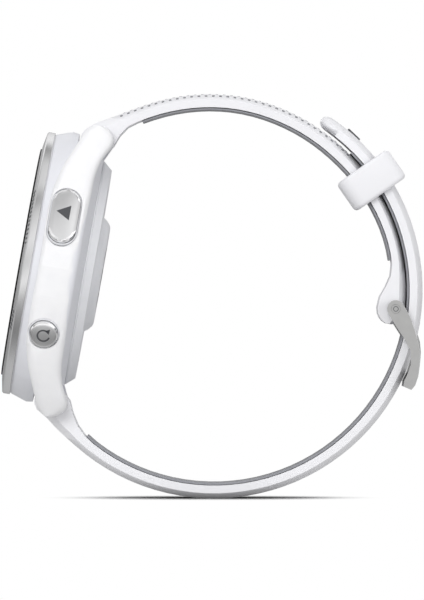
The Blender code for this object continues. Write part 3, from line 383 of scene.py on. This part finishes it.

# %% [markdown]
# Two copies get a second finish. The buckle's bevels are polished, which the Bevel modifier
# can do by itself: it gives its new faces a slot of their own. The grey liner's faces that look
# sideways get a paler grey: painted light for its sides, which catch more light than its inner face.

# %% Buckle bevels, and painted light on the liner's sides
SIDEWAYS = 0.5              # how far a face looks along Y to count as a side
LINER_EDGE = 0.1
soft["buckle_frame"].data.materials.append(polished)
soft["buckle_frame"].modifiers["soft_edges"].material = 1
for node in ("upper_strap_liner", "lower_strap_liner"):
    liner = soft_copy(node, LINER_EDGE).data
    liner.materials.append(liner_side_painted_light)
    # painted light: faces that look sideways get the paler grey
    for face in liner.polygons:
        face.material_index = 1 if abs(face.normal.y) > SIDEWAYS else 0
    print(node, "has", sum(face.material_index for face in liner.polygons), "side faces")

# %% [markdown]
# A coil spring shortens when its button goes in; a stiff copy would stick into the cap. Each
# spring is copied whole, rides on no body, and has its length along the joint's axis measured.
# The joint says which node it shortens.

# %% Copies of the springs
def shortening(joint):
    """Copy a joint's spring whole and measure its length along the joint's axis."""
    node = joint["deforming_nodes"][0]["node"]
    spring = finish_piece(f"{node}_coil", to_mesh(merged(node), f"{node}_coil"),
                          finishes[slots[node]], None, node)
    along = Vector(joint["axis"]).normalized()
    points = sorted((v.co for v in spring.data.vertices), key=along.dot)
    middle = sum(points, Vector()) / len(points)
    loose, held = (middle + along * along.dot(end - middle) for end in (points[0], points[-1]))
    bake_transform(spring)
    return (held - loose).length / MM


for joint in frame["joints"]:
    if joint.get("deforming_nodes"):
        print(joint["name"], "shortens a spring of", round(shortening(joint), 2), "mm")

# %% [markdown]
# A strap is a soft thing with a full, round edge. Only the long edges that run down its two
# sides are rounded that much; the mouths of its holes keep a fine edge. So the long edges are
# picked by where they lie and bevelled in the mesh, and Weighted Normal then lets the big
# faces decide the shading next to the small ones.

# %% Straps
RAIL_ROUND = 0.62
RAIL_STEPS = 4
RAIL_TURN = math.radians(24)      # a long edge turns at least this much
TAIL_HALF = 5.0                   # nothing nearer to the middle line is a long edge
STRAP_SHARP = math.radians(50)
BAR_PLACE = (23.3, -7.3)          # spring bar in the dial's frame: up or down, and in
BAR_REACH = 2.0                   # edges this near to a bar or the pin belong to its bore
PIN_REACH = 1.3
bores = [(dial @ Vector((0, side * BAR_PLACE[0] * MM, BAR_PLACE[1] * MM)), BAR_REACH)
         for side in (-1, 1)] + [(pin_centre, PIN_REACH)]


def on_rail(edge):
    """Whether an edge is one of the four long ones of a strap."""
    if edge.calc_face_angle(0) < RAIL_TURN:
        return False
    run = edge.verts[1].co - edge.verts[0].co
    middle = (edge.verts[0].co + edge.verts[1].co) / 2
    if abs(run.y) > 0.5 * run.length or abs(middle.y) < TAIL_HALF * MM:
        return False
    if any(math.hypot(middle.x - c.x, middle.z - c.z) < reach * MM for c, reach in bores):
        return False
    return any(abs(face.normal.y) > SIDEWAYS for face in edge.link_faces)


for node in ("upper_strap", "lower_strap"):
    shape = welded(node)
    bmesh.ops.join_triangles(shape, faces=shape.faces, angle_face_threshold=math.radians(1),
                             angle_shape_threshold=math.radians(80))
    rails = [edge for edge in shape.edges if on_rail(edge)]
    bmesh.ops.bevel(shape, geom=rails, offset=RAIL_ROUND * MM, segments=RAIL_STEPS, profile=0.5,
                    affect="EDGES", material=-1, clamp_overlap=True)
    print(node, "has", len(rails), "rail edges rounded")
    strap = finish_piece(f"{node}_soft", to_mesh(shape, f"{node}_soft"),
                         finishes["white_silicone"], body_of[node], node)
    strap.data.set_sharp_from_angle(angle=STRAP_SHARP)
    strap.modifiers.new("even_normals", "WEIGHTED_NORMAL").keep_sharp = True

# %% [markdown]
# The bezel is a turned ring, so it is drawn the way a lathe makes it: half of its section,
# spun round the dial's axis. The section's corners are bevelled while it is still flat,
# which is easier than bevelling a finished ring.

# %% A lathe in a function
def turned(profile, steps, corner, closed=True):
    """Spin a section of (radius, height) points, its corners rounded, about the dial."""
    shape = bmesh.new()
    points = [shape.verts.new((radius * MM, 0, height * MM)) for radius, height in profile]
    shape.faces.new(points)
    round_these = [v for v in shape.verts if v.co.x > MM / 2]
    bmesh.ops.bevel(shape, geom=round_these, offset=corner * MM, segments=3, profile=0.5,
                    affect="VERTICES", material=-1)
    bmesh.ops.delete(shape, geom=list(shape.faces), context="FACES_ONLY")
    if not closed:
        on_axis = [e for e in shape.edges if all(v.co.x < MM / 1000 for v in e.verts)]
        bmesh.ops.delete(shape, geom=on_axis, context="EDGES")
    bmesh.ops.spin(shape, geom=list(shape.verts) + list(shape.edges), cent=(0, 0, 0),
                   axis=(0, 0, 1), angle=math.tau, steps=steps, use_merge=True)
    bmesh.ops.remove_doubles(shape, verts=shape.verts, dist=MM / 2000)
    bmesh.ops.recalc_face_normals(shape, faces=shape.faces)
    bmesh.ops.transform(shape, matrix=dial, verts=shape.verts)
    return shape


print("a turned part is spun round", [round(c / MM, 2) for c in dial_centre])

# %% [markdown]
# The bezel's section starts at the foot of its outer wall, goes up and over a small chamfer
# and the flat cone to the glass seat, and comes down inside the skirt that centres it.

# %% Bezel
BEZEL_RADIUS = 23.5
BEZEL_WALL = 1.15
BEZEL_CHAMFER = 0.22
BEZEL_TOP = 1.85
LIP_WIDTH = 0.5
LIP_DROP = 0.06
GLASS_RADIUS = 20.3
SEAT_RADIUS = GLASS_RADIUS + 0.3
SEAT_HEIGHT = 0.2
SKIRT_RADIUS = 20.6
SKIRT_WALL = 1.0
SKIRT_FOOT = -1.65
section = ((BEZEL_RADIUS, 0.0), (BEZEL_RADIUS, BEZEL_WALL),
           (BEZEL_RADIUS - BEZEL_CHAMFER, BEZEL_WALL + BEZEL_CHAMFER),
           (SEAT_RADIUS + LIP_WIDTH, BEZEL_TOP - LIP_DROP), (SEAT_RADIUS, BEZEL_TOP),
           (SEAT_RADIUS, SEAT_HEIGHT), (SKIRT_RADIUS - SKIRT_WALL, SEAT_HEIGHT),
           (SKIRT_RADIUS - SKIRT_WALL, SKIRT_FOOT), (SKIRT_RADIUS, SKIRT_FOOT),
           (SKIRT_RADIUS, 0.0))
bezel = to_mesh(turned(section, 200, 0.05), "bezel")
finish_piece("bezel", bezel, titanium, "watch", "bezel_ring")
print("the bezel has", len(bezel.polygons), "faces")

# %% [markdown]
# The glass is a turned disc too. Its faces over the display get the clear glass and all the
# others the black print, chosen by how far each face's middle is from the axis.

# %% Cover glass
GLASS_THICKNESS = 1.2
PRINT_INNER = 17.6
glass_bottom = GLASS_TOP - GLASS_THICKNESS
section = ((0, GLASS_TOP), (PRINT_INNER, GLASS_TOP), (GLASS_RADIUS, GLASS_TOP),
           (GLASS_RADIUS, glass_bottom), (PRINT_INNER, glass_bottom), (0, glass_bottom))
mesh = to_mesh(turned(section, 160, 0.08, closed=False), "cover_glass")
finish_piece("cover_glass", mesh, (black_glass, clear_glass, black_edge), "watch", "lens")
for face in mesh.polygons:
    reach = (face.center - dial_centre).cross(dial_normal).length
    if abs(face.normal.dot(dial_normal)) < 0.95:
        face.material_index = 2
    elif reach < PRINT_INNER * MM:
        face.material_index = 1
print("clear over", 2 * PRINT_INNER, "mm of a", 2 * GLASS_RADIUS, "mm glass")

# %% [markdown]
# Five ticks are engraved in the bezel's cone beside each round button and thirteen beside
# the long one. Each is a thin cube laid on the slope, a hair proud, so it shows as filled ink.

# %% Bezel ticks
def gathered(name, shape, finish, body):
    """A piece made of several small solids in one mesh."""
    bmesh.ops.recalc_face_normals(shape, faces=shape.faces)
    return finish_piece(name, to_mesh(shape, name), finish, body)


CONE_RADIUS = 22.3
CONE_HEIGHT = 1.57
CONE_SLOPE = math.radians(10.9)
TICK_SIZE = (1.0, 0.22, 0.12)
TICK_STEP = 2.1             # degrees
BUTTON_ANGLES = {"start": 21.4, "lap": -27.6, "light": 152.4, "up": 180.0, "down": 207.6}
ticks = bmesh.new()
for name, angle in BUTTON_ANGLES.items():
    count = 13 if name == "start" else 5
    for i in range(count):
        step = math.radians(angle + (i - (count - 1) / 2) * TICK_STEP)
        spot = (dial @ Matrix.Rotation(step, 4, "Z")
                @ Matrix.Translation((CONE_RADIUS * MM, 0, CONE_HEIGHT * MM))
                @ Matrix.Rotation(CONE_SLOPE, 4, "Y"))
        size = Matrix.Diagonal([side * MM for side in TICK_SIZE] + [1])
        bmesh.ops.create_cube(ticks, size=1, matrix=spot @ size)
print("cut", len(ticks.verts) // 8, "ticks")
gathered("bezel_ticks", ticks, ink, "watch")

# %% [markdown]
# The display shows a plain running face: a minute track, two progress arcs and two hands.
# All of it lies on the display panel, under the clear glass, and glows a little, as a lit
# display does.

# %% Display light and minute track
DISPLAY_TOP = 0.66
DISPLAY_THICK = 0.04
DISPLAY_GLOW = 0.5
TRACK_RADIUS = 16.2
HOUR_TICK = (1.9, 0.34)     # length and width
MINUTE_TICK = (0.9, 0.16)


def lit(name, code):
    """A finish for the part of the display that is lit in one colour."""
    made = moulded(name, code, 1.0, 0.0005, (0.4, 0.5))
    shader = made.node_tree.nodes["Principled BSDF"]
    shader.inputs["Emission Color"].default_value = linear(code)
    shader.inputs["Emission Strength"].default_value = DISPLAY_GLOW
    return made


def bar_on_dial(shape, angle, radius, length, width):
    """A flat bar that points away from the dial's centre."""
    spot = (dial @ Matrix.Rotation(math.radians(angle), 4, "Z")
            @ Matrix.Translation((radius * MM, 0, DISPLAY_TOP * MM)))
    size = Matrix.Diagonal((length * MM, width * MM, DISPLAY_THICK * MM, 1))
    bmesh.ops.create_cube(shape, size=1, matrix=spot @ size)


track = bmesh.new()
for minute in range(60):
    length, width = MINUTE_TICK if minute % 5 else HOUR_TICK
    bar_on_dial(track, 6 * minute, TRACK_RADIUS - length / 2, length, width)
for angle, radius, length, width in ((150, 3.8, 9.4, 0.9), (38, 5.8, 13.4, 0.6)):
    bar_on_dial(track, angle, radius, length, width)       # the hour and minute hands
print("the display has", len(track.verts) // 8, "bars")
gathered("display_track", track, lit("lit_white", "#e8ebee"), "watch")

# %% [markdown]
# An arc is a small rectangle spun about an axis for part of a turn. Its two ends are then
# open and get a face each. A whole ring is the same thing spun all the way and merged. One
# helper does both, for the display here and for the buttons further on.

# %% Progress arcs
def spun_bar(shape, radius, width, levels, start, end, steps):
    """Spin a rectangle round Z from one angle to another, in degrees."""
    low, high = levels
    corners = [shape.verts.new((reach * MM, 0, level * MM)) for reach, level in (
        (radius - width / 2, low), (radius + width / 2, low),
        (radius + width / 2, high), (radius - width / 2, high))]
    edges = [shape.edges.new((corners[i], corners[(i + 1) % 4])) for i in range(4)]
    bmesh.ops.rotate(shape, verts=corners, cent=(0, 0, 0),
                     matrix=Matrix.Rotation(math.radians(start), 3, "Z"))
    bmesh.ops.spin(shape, geom=corners + edges, cent=(0, 0, 0), axis=(0, 0, 1),
                   angle=math.radians(end - start), steps=steps, use_merge=end - start == 360)
    bmesh.ops.holes_fill(shape, edges=shape.edges, sides=4)


ARC_LEVELS = (DISPLAY_TOP - DISPLAY_THICK / 2, DISPLAY_TOP + DISPLAY_THICK / 2)
for name, radius, end, finish in (
        ("display_arc_outer", 12.6, -160, lit("lit_teal", "#2fb5a6")),
        ("display_arc_inner", 11.1, -70, lit("lit_orange", "#e88a3c"))):
    shape = bmesh.new()
    spun_bar(shape, radius, 1.0, ARC_LEVELS, 90, end, 48)
    bmesh.ops.transform(shape, matrix=dial, verts=shape.verts)
    gathered(name, shape, finish, "watch")
    print(name, "runs over", 90 - end, "degrees")

# %% [markdown]
# A button's face is blasted and its bevel polished. On the copy of each cap, the faces that
# look straight out keep the satin steel and the others get the polished one.

# %% Button caps
STRAIGHT_OUT = 0.99
BUTTON_DEPTH = 4.35         # a button's middle below the bezel's underside
button_faces = {}
for name, angle in BUTTON_ANGLES.items():
    shape = merged(f"{name}_button")
    out = -Vector(joints[f"{name}_press"]["axis"]).normalized()
    centre = dial_centre - dial_normal * BUTTON_DEPTH * MM
    reach = max((v.co - centre).dot(out) for v in shape.verts)
    mesh = to_mesh(shape, f"{name}_cap")
    cap = finish_piece(f"{name}_cap", mesh, (polished, finishes["button_metal"]),
                       f"{name}_plunger", f"{name}_button")
    for face in mesh.polygons:
        face.material_index = 1 if face.normal.dot(out) > STRAIGHT_OUT else 0
    soften(cap, 0.05, 2, 60)
    along = dial_normal.cross(out)
    axes = Matrix((along, dial_normal, out)).transposed().to_4x4()
    button_faces[name] = Matrix.Translation(centre + out * reach) @ axes
    print(name, "stands", round(reach / MM, 2), "mm out from the dial's axis")

# %% [markdown]
# Symbols on the buttons are plain signs: a triangle for start, a loop with an arrow for lap,
# and a lamp and two arrowheads on the far side. Each is a thin inlay in the cap's face.

# %% Button symbols
INLAY = 0.12
INLAY_PROUD = 0.02


def triangle(shape, radius, turn, place=(0, 0)):
    """A flat triangle with one corner turned from +X."""
    made = bmesh.ops.create_cone(shape, segments=3, radius1=radius * MM, radius2=radius * MM,
                                 depth=INLAY * MM, cap_ends=True)
    low = Matrix.Translation((place[0] * MM, place[1] * MM, (INLAY_PROUD - INLAY / 2) * MM))
    bmesh.ops.transform(shape, matrix=low @ Matrix.Rotation(math.radians(turn), 4, "Z"),
                        verts=made["verts"])


INLAY_LEVELS = (INLAY_PROUD - INLAY, INLAY_PROUD)
for name in BUTTON_ANGLES:
    shape = bmesh.new()
    if name == "start":
        triangle(shape, 1.62, 0, (0.5, -0.1))
    if name == "lap":
        spun_bar(shape, 1.05, 0.3, INLAY_LEVELS, -40, 260, 28)
        triangle(shape, 0.6, 235, (0.94, -0.66))
    if name == "light":
        spun_bar(shape, 0.85, 0.26, INLAY_LEVELS, 0, 359, 28)
    if name == "up":
        triangle(shape, 0.9, -90)
    if name == "down":
        triangle(shape, 0.9, 90)
    bmesh.ops.transform(shape, matrix=button_faces[name], verts=shape.verts)
    gathered(f"{name}_symbol", shape, ink, f"{name}_plunger")
print("inlaid", len(BUTTON_ANGLES), "signs", INLAY, "mm deep")

# %% [markdown]
# Each cap slides in a pale wiper seal that fills most of the gap to its pocket. The seal is a
# thin ring, set below the band's surface. For the long button the ring is parted down its
# middle and the two halves are moved away from each other, which leaves straight sides.

# %% Button seals
RING_STEPS = 48
CAP_HALF = 2.5
START_HALF = (5.0, 2.45)    # half its length and half its width
SEAL_GAP = 0.06
SEAL_WIDTH = 0.18
SEAL_LEVELS = (-1.7, -1.05)


def ring(shape, inner, width, levels, stretch=0.0):
    """A closed ring round Z, its halves moved apart along X by stretch each."""
    half_step = 180 / RING_STEPS
    spun_bar(shape, inner + width / 2, width, levels, half_step, half_step + 360, RING_STEPS)
    for corner in shape.verts:
        corner.co.x += math.copysign(stretch * MM, corner.co.x)


for name in BUTTON_ANGLES:
    half_long, half_wide = START_HALF if name == "start" else (CAP_HALF, CAP_HALF)
    shape = bmesh.new()
    ring(shape, half_wide + SEAL_GAP, SEAL_WIDTH, SEAL_LEVELS, half_long - half_wide)
    bmesh.ops.transform(shape, matrix=button_faces[name], verts=shape.verts)
    gathered(f"{name}_wiper", shape, finishes["grey_polymer"], "watch")
print("seals", SEAL_WIDTH, "mm wide")

# %% [markdown]
# The buckle turns on a pin that ends flush in its two arms. Each end shows as a flat disc
# with a fine ring cut in it, so a low cone and a thin dark ring lie on the arm there.

# %% Ends of the buckle pin
PIN_OUT = 13.2
PIN_CAP = 0.8
PIN_TAPER = 0.04
PIN_CAP_THICK = 0.08
GROOVE_INNER = 0.36
GROOVE_WIDTH = 0.12
GROOVE_LEVELS = (-0.02, 0.06)
for side, end in (("near", -1), ("far", 1)):
    spot = (Matrix.Translation(pin_centre + Vector((0, end * PIN_OUT * MM, 0)))
            @ Matrix.Rotation(-end * math.pi / 2, 4, "X"))
    cover = bmesh.new()
    bmesh.ops.create_cone(cover, segments=48, radius1=PIN_CAP * MM,
                          radius2=(PIN_CAP - PIN_TAPER) * MM, depth=PIN_CAP_THICK * MM,
                          cap_ends=True, matrix=spot)
    gathered(f"pin_cover_{side}", cover, finishes["satin_steel"], "buckle")
    groove = bmesh.new()
    ring(groove, GROOVE_INNER, GROOVE_WIDTH, GROOVE_LEVELS)
    bmesh.ops.transform(groove, matrix=spot, verts=groove.verts)
    gathered(f"pin_groove_{side}", groove, ink, "buckle")
print("the pin shows at", PIN_OUT, "mm on both sides")

# %% [markdown]
# The seams between bezel, case and back plate are filled by the lips of gaskets, which show
# as pale lines. Each is a turned ring of a small rectangle.

# %% Seams
for name, inner, outer, high, low in (("cover_seam", 19.3, 20.0, -9.32, -9.58),
                                      ("bezel_seam", 22.6, 23.2, -0.02, -0.23)):
    section = ((inner, high), (outer, high), (outer, low), (inner, low))
    finish_piece(name, to_mesh(turned(section, 120, 0.04), name), finishes["grey_polymer"],
                 "watch")
    print(name, "is", round(high - low, 2), "mm high")

# %% [markdown]
# The optical sensor looks out through five small round lenses in its dark window: one in the
# middle and four round it. They are low cones that stand a little out of the window.

# %% Sensor lenses
SENSOR_FACE = -12.41
LENS_HEIGHT = 0.1
LENS_TAPER = 0.92
LENSES = ((0, 0, 1.5), (4, 0, 1.1), (-4, 0, 1.1), (0, 4, 1.1), (0, -4, 1.1))
shape = bmesh.new()
for x, y, radius in LENSES:
    spot = dial @ Matrix.Translation((x * MM, y * MM, SENSOR_FACE * MM))
    bmesh.ops.create_cone(shape, segments=40, radius1=radius * MM,
                          radius2=radius * LENS_TAPER * MM, depth=LENS_HEIGHT * MM,
                          cap_ends=True, matrix=spot @ Matrix.Rotation(math.pi, 4, "X"))
gathered("sensor_lenses", shape, finishes["sensor_glass"], "watch")
print(len(LENSES), "lenses")

# %% [markdown]
# Details on a strap have to follow its bend. A ray that is cast towards the loop's centre
# finds the strap's outer face and which way it looks, and that makes a small frame there.

# %% Find a strap's outer face
RAY_HEIGHT = 20.0           # rays start this far outside the loop


def skin_finder(node):
    """A tree that rays can be cast against, for one node."""
    mesh = frame["nodes"][node].data
    return BVHTree.FromPolygons([v.co for v in mesh.vertices],
                                [list(p.vertices) for p in mesh.polygons])


def on_skin(finder, angle, y):
    """Frame on a strap's outer face: Z out of it, Y across it."""
    start = on_loop(angle, RAY_HEIGHT, y).translation
    inward = (loop_centre + Vector((0, y * MM, 0)) - start).normalized()
    spot, normal, _, _ = finder.ray_cast(start, inward)
    across = Vector((0, 1, 0))
    ahead = across.cross(normal).normalized()
    across = normal.cross(ahead)
    axes = Matrix((ahead, across, normal)).transposed().to_4x4()
    return Matrix.Translation(spot) @ axes


def block(shape, spot, size):
    """A block of a size in millimetres in a frame."""
    scale = Matrix.Diagonal([length * MM for length in size] + [1])
    bmesh.ops.create_cube(shape, size=1, matrix=spot @ scale)


upper_skin = skin_finder("upper_strap")
lower_skin = skin_finder("lower_strap")
top_of_loop = on_skin(upper_skin, 90, 0).translation.z
print("the short strap is", round(top_of_loop / MM, 1), "mm high at the top of the loop")

# %% [markdown]
# The short strap carries two rows of small pressed dashes near each edge, the inner row set
# half a step on. They are small enough to be plain blocks.

# %% Pressed dashes
DASH_PITCH = 1.29
DASH_SIZE = (0.45, 0.42, 0.12)
DASH_ROWS = ((9.8, 0.0), (8.3, 0.5))     # place across the strap, and shift in steps
DASH_START = 118.0          # degrees round the loop
DASH_END = 43.0
STRAP_THICKNESS = 2.3
dash_step = math.degrees(DASH_PITCH / (LOOP_RADIUS - STRAP_THICKNESS))
shape = bmesh.new()
for i in range(int((DASH_START - DASH_END) / dash_step)):
    for y, shift in DASH_ROWS:
        for side in (-1, 1):
            spot = on_skin(upper_skin, DASH_START - (i + shift) * dash_step, side * y)
            block(shape, spot, DASH_SIZE)
print("laid", len(shape.verts) // 8, "dashes on the short strap")
gathered("strap_dashes", shape, finishes["grey_silicone"], "watch")

# %% [markdown]
# Near its tip the long strap has a raised dark bar that stops the keeper from sliding off.
# The last hole lies on the middle line, so the ray is cast beside it and the bar moved back.

# %% Keeper stop
STOP_ANGLE = 48.0
STOP_SIZE = (2.8, 15.0, 0.6)
STOP_EDGE = 0.15
BESIDE_HOLE = 5.5
shape = bmesh.new()
block(shape, on_skin(lower_skin, STOP_ANGLE, BESIDE_HOLE), STOP_SIZE)
bmesh.ops.translate(shape, verts=shape.verts, vec=(0, -BESIDE_HOLE * MM, 0))
soften(gathered("keeper_stop", shape, ink, "watch"), STOP_EDGE)
print("the stop is", STOP_SIZE[1], "mm wide")

# %% [markdown]
# ## The studio
# A pale floor that runs on into a white room, four soft lights, and a camera level with the
# middle of the strap loop. It stands far off with a long lens, so the loop's inner face
# stays as thin as it looks from the side.

# %% Camera
VIEW_DISTANCE = 2.4         # metres
VIEW_HEIGHT = 35.06
CAMERA_X = 0.09
LENS = 812.1                # focal length in mm
camera_data = bpy.data.cameras.new("camera")
camera_data.lens = LENS
camera_data.clip_start = 0.05
camera_data.clip_end = 20
camera = bpy.data.objects.new("camera", camera_data)
camera.location = (CAMERA_X * MM, -VIEW_DISTANCE, VIEW_HEIGHT * MM)
camera.rotation_euler = (math.radians(90), 0, 0)
bpy.context.collection.objects.link(camera)
bpy.context.scene.camera = camera
print("the camera stands", VIEW_DISTANCE, "m away")

# %% [markdown]
# The floor is matt where the watch stands and melts into a white sheet around it. The sheet
# glows for the camera, and less for the watch, which would otherwise be lit from below.
# Right under the watch the floor is dark, which is the shadow where the strap touches it.

# %% Floor
FLOOR_GLOW = 0.55
FLOOR_HALF = 6              # metres
SHADOW_SIZE = (31, 34)      # half its length and half its width
SHADOW_TONE = 0.12
SHEET_TONE = 0.93
SHEET_STARTS = 0.5          # share of the shadow where the sheet begins to show
shape = bmesh.new()
bmesh.ops.create_grid(shape, x_segments=1, y_segments=1, size=FLOOR_HALF)
floor_mesh = to_mesh(shape, "floor")
floor = bpy.data.objects.new("floor", floor_mesh)
floor.visible_glossy = False       # metal mirrors the studio's panels instead
bpy.context.collection.objects.link(floor)
pale, tree, shader = blank("pale_floor", "#f7f7f7", 0.9)
shader.inputs["Specular IOR Level"].default_value = 0.1
seen = add(tree, "LightPath")
strength = add(tree, "MapRange", {"To Min": FLOOR_GLOW, "To Max": 1.0},
               {"Value": seen.outputs["Is Camera Ray"]})
glow = add(tree, "Emission", {"Color": (1, 1, 1, 1)}, {"Strength": strength.outputs["Result"]})
place = add(tree, "TexCoord").outputs["Object"]
contact = add(tree, "VectorMath", {1: [1 / (half * MM) for half in SHADOW_SIZE] + [0]},
              {0: place}, operation="MULTIPLY")
reach = add(tree, "VectorMath", None, {0: contact.outputs["Vector"]}, operation="LENGTH")
depth = add(tree, "MapRange", {"To Min": SHADOW_TONE, "To Max": SHEET_TONE},
            {"Value": reach.outputs["Value"]}, interpolation_type="SMOOTHSTEP")
grey = add(tree, "CombineColor", None, {name: depth.outputs["Result"]
                                        for name in ("Red", "Green", "Blue")})
tree.links.new(grey.outputs["Color"], shader.inputs["Base Color"])
share = add(tree, "MapRange", {"From Min": SHEET_STARTS, "From Max": 1.0},
            {"Value": reach.outputs["Value"]}, interpolation_type="SMOOTHSTEP")
sheet = add(tree, "MixShader", None, {"Fac": share.outputs["Result"], 1: shader.outputs["BSDF"],
                                      2: glow.outputs["Emission"]})
tree.links.new(sheet.outputs["Shader"], tree.nodes["Material Output"].inputs["Surface"])
floor_mesh.materials.append(pale)
print("the contact shadow is", 2 * SHADOW_SIZE[0], "mm long")

# %% [markdown]
# The camera sees a white room. What the watch's metal sees is a studio: bright panels above,
# a darker floor, and grey gaps between them, laid out by the angle at which a reflection
# leaves over the watch's near side. That is what draws light and dark bands along the bezel.

# %% The studio's panels
world = bpy.data.worlds.new("studio")
bpy.context.scene.world = world
world.use_nodes = True
tree = world.node_tree
COOL = 1.01                 # the panels are a touch blue
# angle from straight ahead, upwards, and brightness
STUDIO_BANDS = ((-180, 0.25), (-150, 0.45), (-100, 0.5), (-62, 0.2), (-35, 0.42), (-16, 1.0),
                (0, 0.62), (20, 0.9), (42, 0.68), (48, 0.66), (57, 0.25), (72, 0.75),
                (100, 0.7), (122, 0.2), (136, 1.0), (160, 0.7), (180, 0.25))
seen = add(tree, "LightPath")
direction = add(tree, "TexCoord")
split = add(tree, "SeparateXYZ", None, {"Vector": direction.outputs["Generated"]})
ahead = add(tree, "Math", {1: -1.0}, {0: split.outputs["Y"]}, operation="MULTIPLY")
turn = add(tree, "Math", None, {0: split.outputs["Z"], 1: ahead.outputs["Value"]},
           operation="ARCTAN2")
round_about = add(tree, "MapRange", {"From Min": -math.pi, "From Max": math.pi},
                  {"Value": turn.outputs["Value"]})
ramp = add(tree, "ValToRGB", None, {"Fac": round_about.outputs["Result"]})
stops = ramp.color_ramp.elements
for angle, level in STUDIO_BANDS[1:-1]:
    stops.new(angle / 360 + 0.5)
for stop, (angle, level) in zip(stops, STUDIO_BANDS):
    stop.position = angle / 360 + 0.5
    stop.color = (level, level, level * COOL, 1)
print(len(stops), "stops round the studio")

# %% [markdown]
# Rays are told apart by the Light Path node. Camera rays meet plain white. The light that
# falls on dull surfaces is a little weaker from the right, and what metal mirrors there is
# much brighter, which puts a bright line on every edge that looks to the right.

# %% Strength of the room
ROOM_LIGHT = 0.66
RIGHT_SHADE = 0.8           # light from the far right, against the left
ROOM_GLOSS = 1.3
RIGHT_GLOSS = 2.2           # how bright metal mirrors the far right
side = add(tree, "MapRange", {"From Min": -0.2, "From Max": 1.0, "To Min": ROOM_LIGHT,
                              "To Max": ROOM_LIGHT * RIGHT_SHADE},
           {"Value": split.outputs["X"]})
mirror_side = add(tree, "MapRange", {"From Min": 0.3, "From Max": 0.8, "To Min": ROOM_GLOSS,
                                     "To Max": RIGHT_GLOSS}, {"Value": split.outputs["X"]})
power = add(tree, "MapRange", None, {"Value": seen.outputs["Is Glossy Ray"],
                                     "To Min": side.outputs["Result"],
                                     "To Max": mirror_side.outputs["Result"]})
room = tree.nodes["Background"]
tree.links.new(power.outputs["Result"], room.inputs["Strength"])
tree.links.new(ramp.outputs["Color"], room.inputs["Color"])
white = add(tree, "Background", {"Color": (1, 1, 1, 1), "Strength": 1.0})
mix = add(tree, "MixShader", None, {"Fac": seen.outputs["Is Camera Ray"],
                                    1: room.outputs["Background"],
                                    2: white.outputs["Background"]})
tree.links.new(mix.outputs["Shader"], tree.nodes["World Output"].inputs["Surface"])
print("metal mirrors the room at", ROOM_GLOSS, "to", RIGHT_GLOSS)

# %% [markdown]
# Four soft boxes light the watch: a strong one in front, weaker ones at both sides and one
# from above. Metal doesn't mirror them, because their hard outlines would cut its bands.

# %% Soft boxes
LOOP_MIDDLE = Vector((0, 0, 0.035))


def softbox(name, place, width, height, power):
    """A rectangular light that looks at the middle of the loop; metres and watts."""
    data = bpy.data.lights.new(name, "AREA")
    data.shape = "RECTANGLE"
    data.size = width
    data.size_y = height
    data.energy = power
    light = bpy.data.objects.new(name, data)
    light.location = place
    light.visible_glossy = False
    light.rotation_euler = (LOOP_MIDDLE - light.location).to_track_quat("-Z", "Y").to_euler()
    bpy.context.collection.objects.link(light)
    print(name, power, "W")


softbox("front_light", (-0.35, -1.3, 0.6), 0.9, 0.6, 9.8)
softbox("right_light", (0.8, -0.7, 0.2), 0.5, 0.6, 3.2)
softbox("left_light", (-0.9, -0.35, 0.1), 0.4, 0.9, 2.2)
softbox("top_light", (0.1, 0.1, 0.9), 0.5, 0.4, 1.6)
bpy.context.scene.view_settings.view_transform = "Standard"
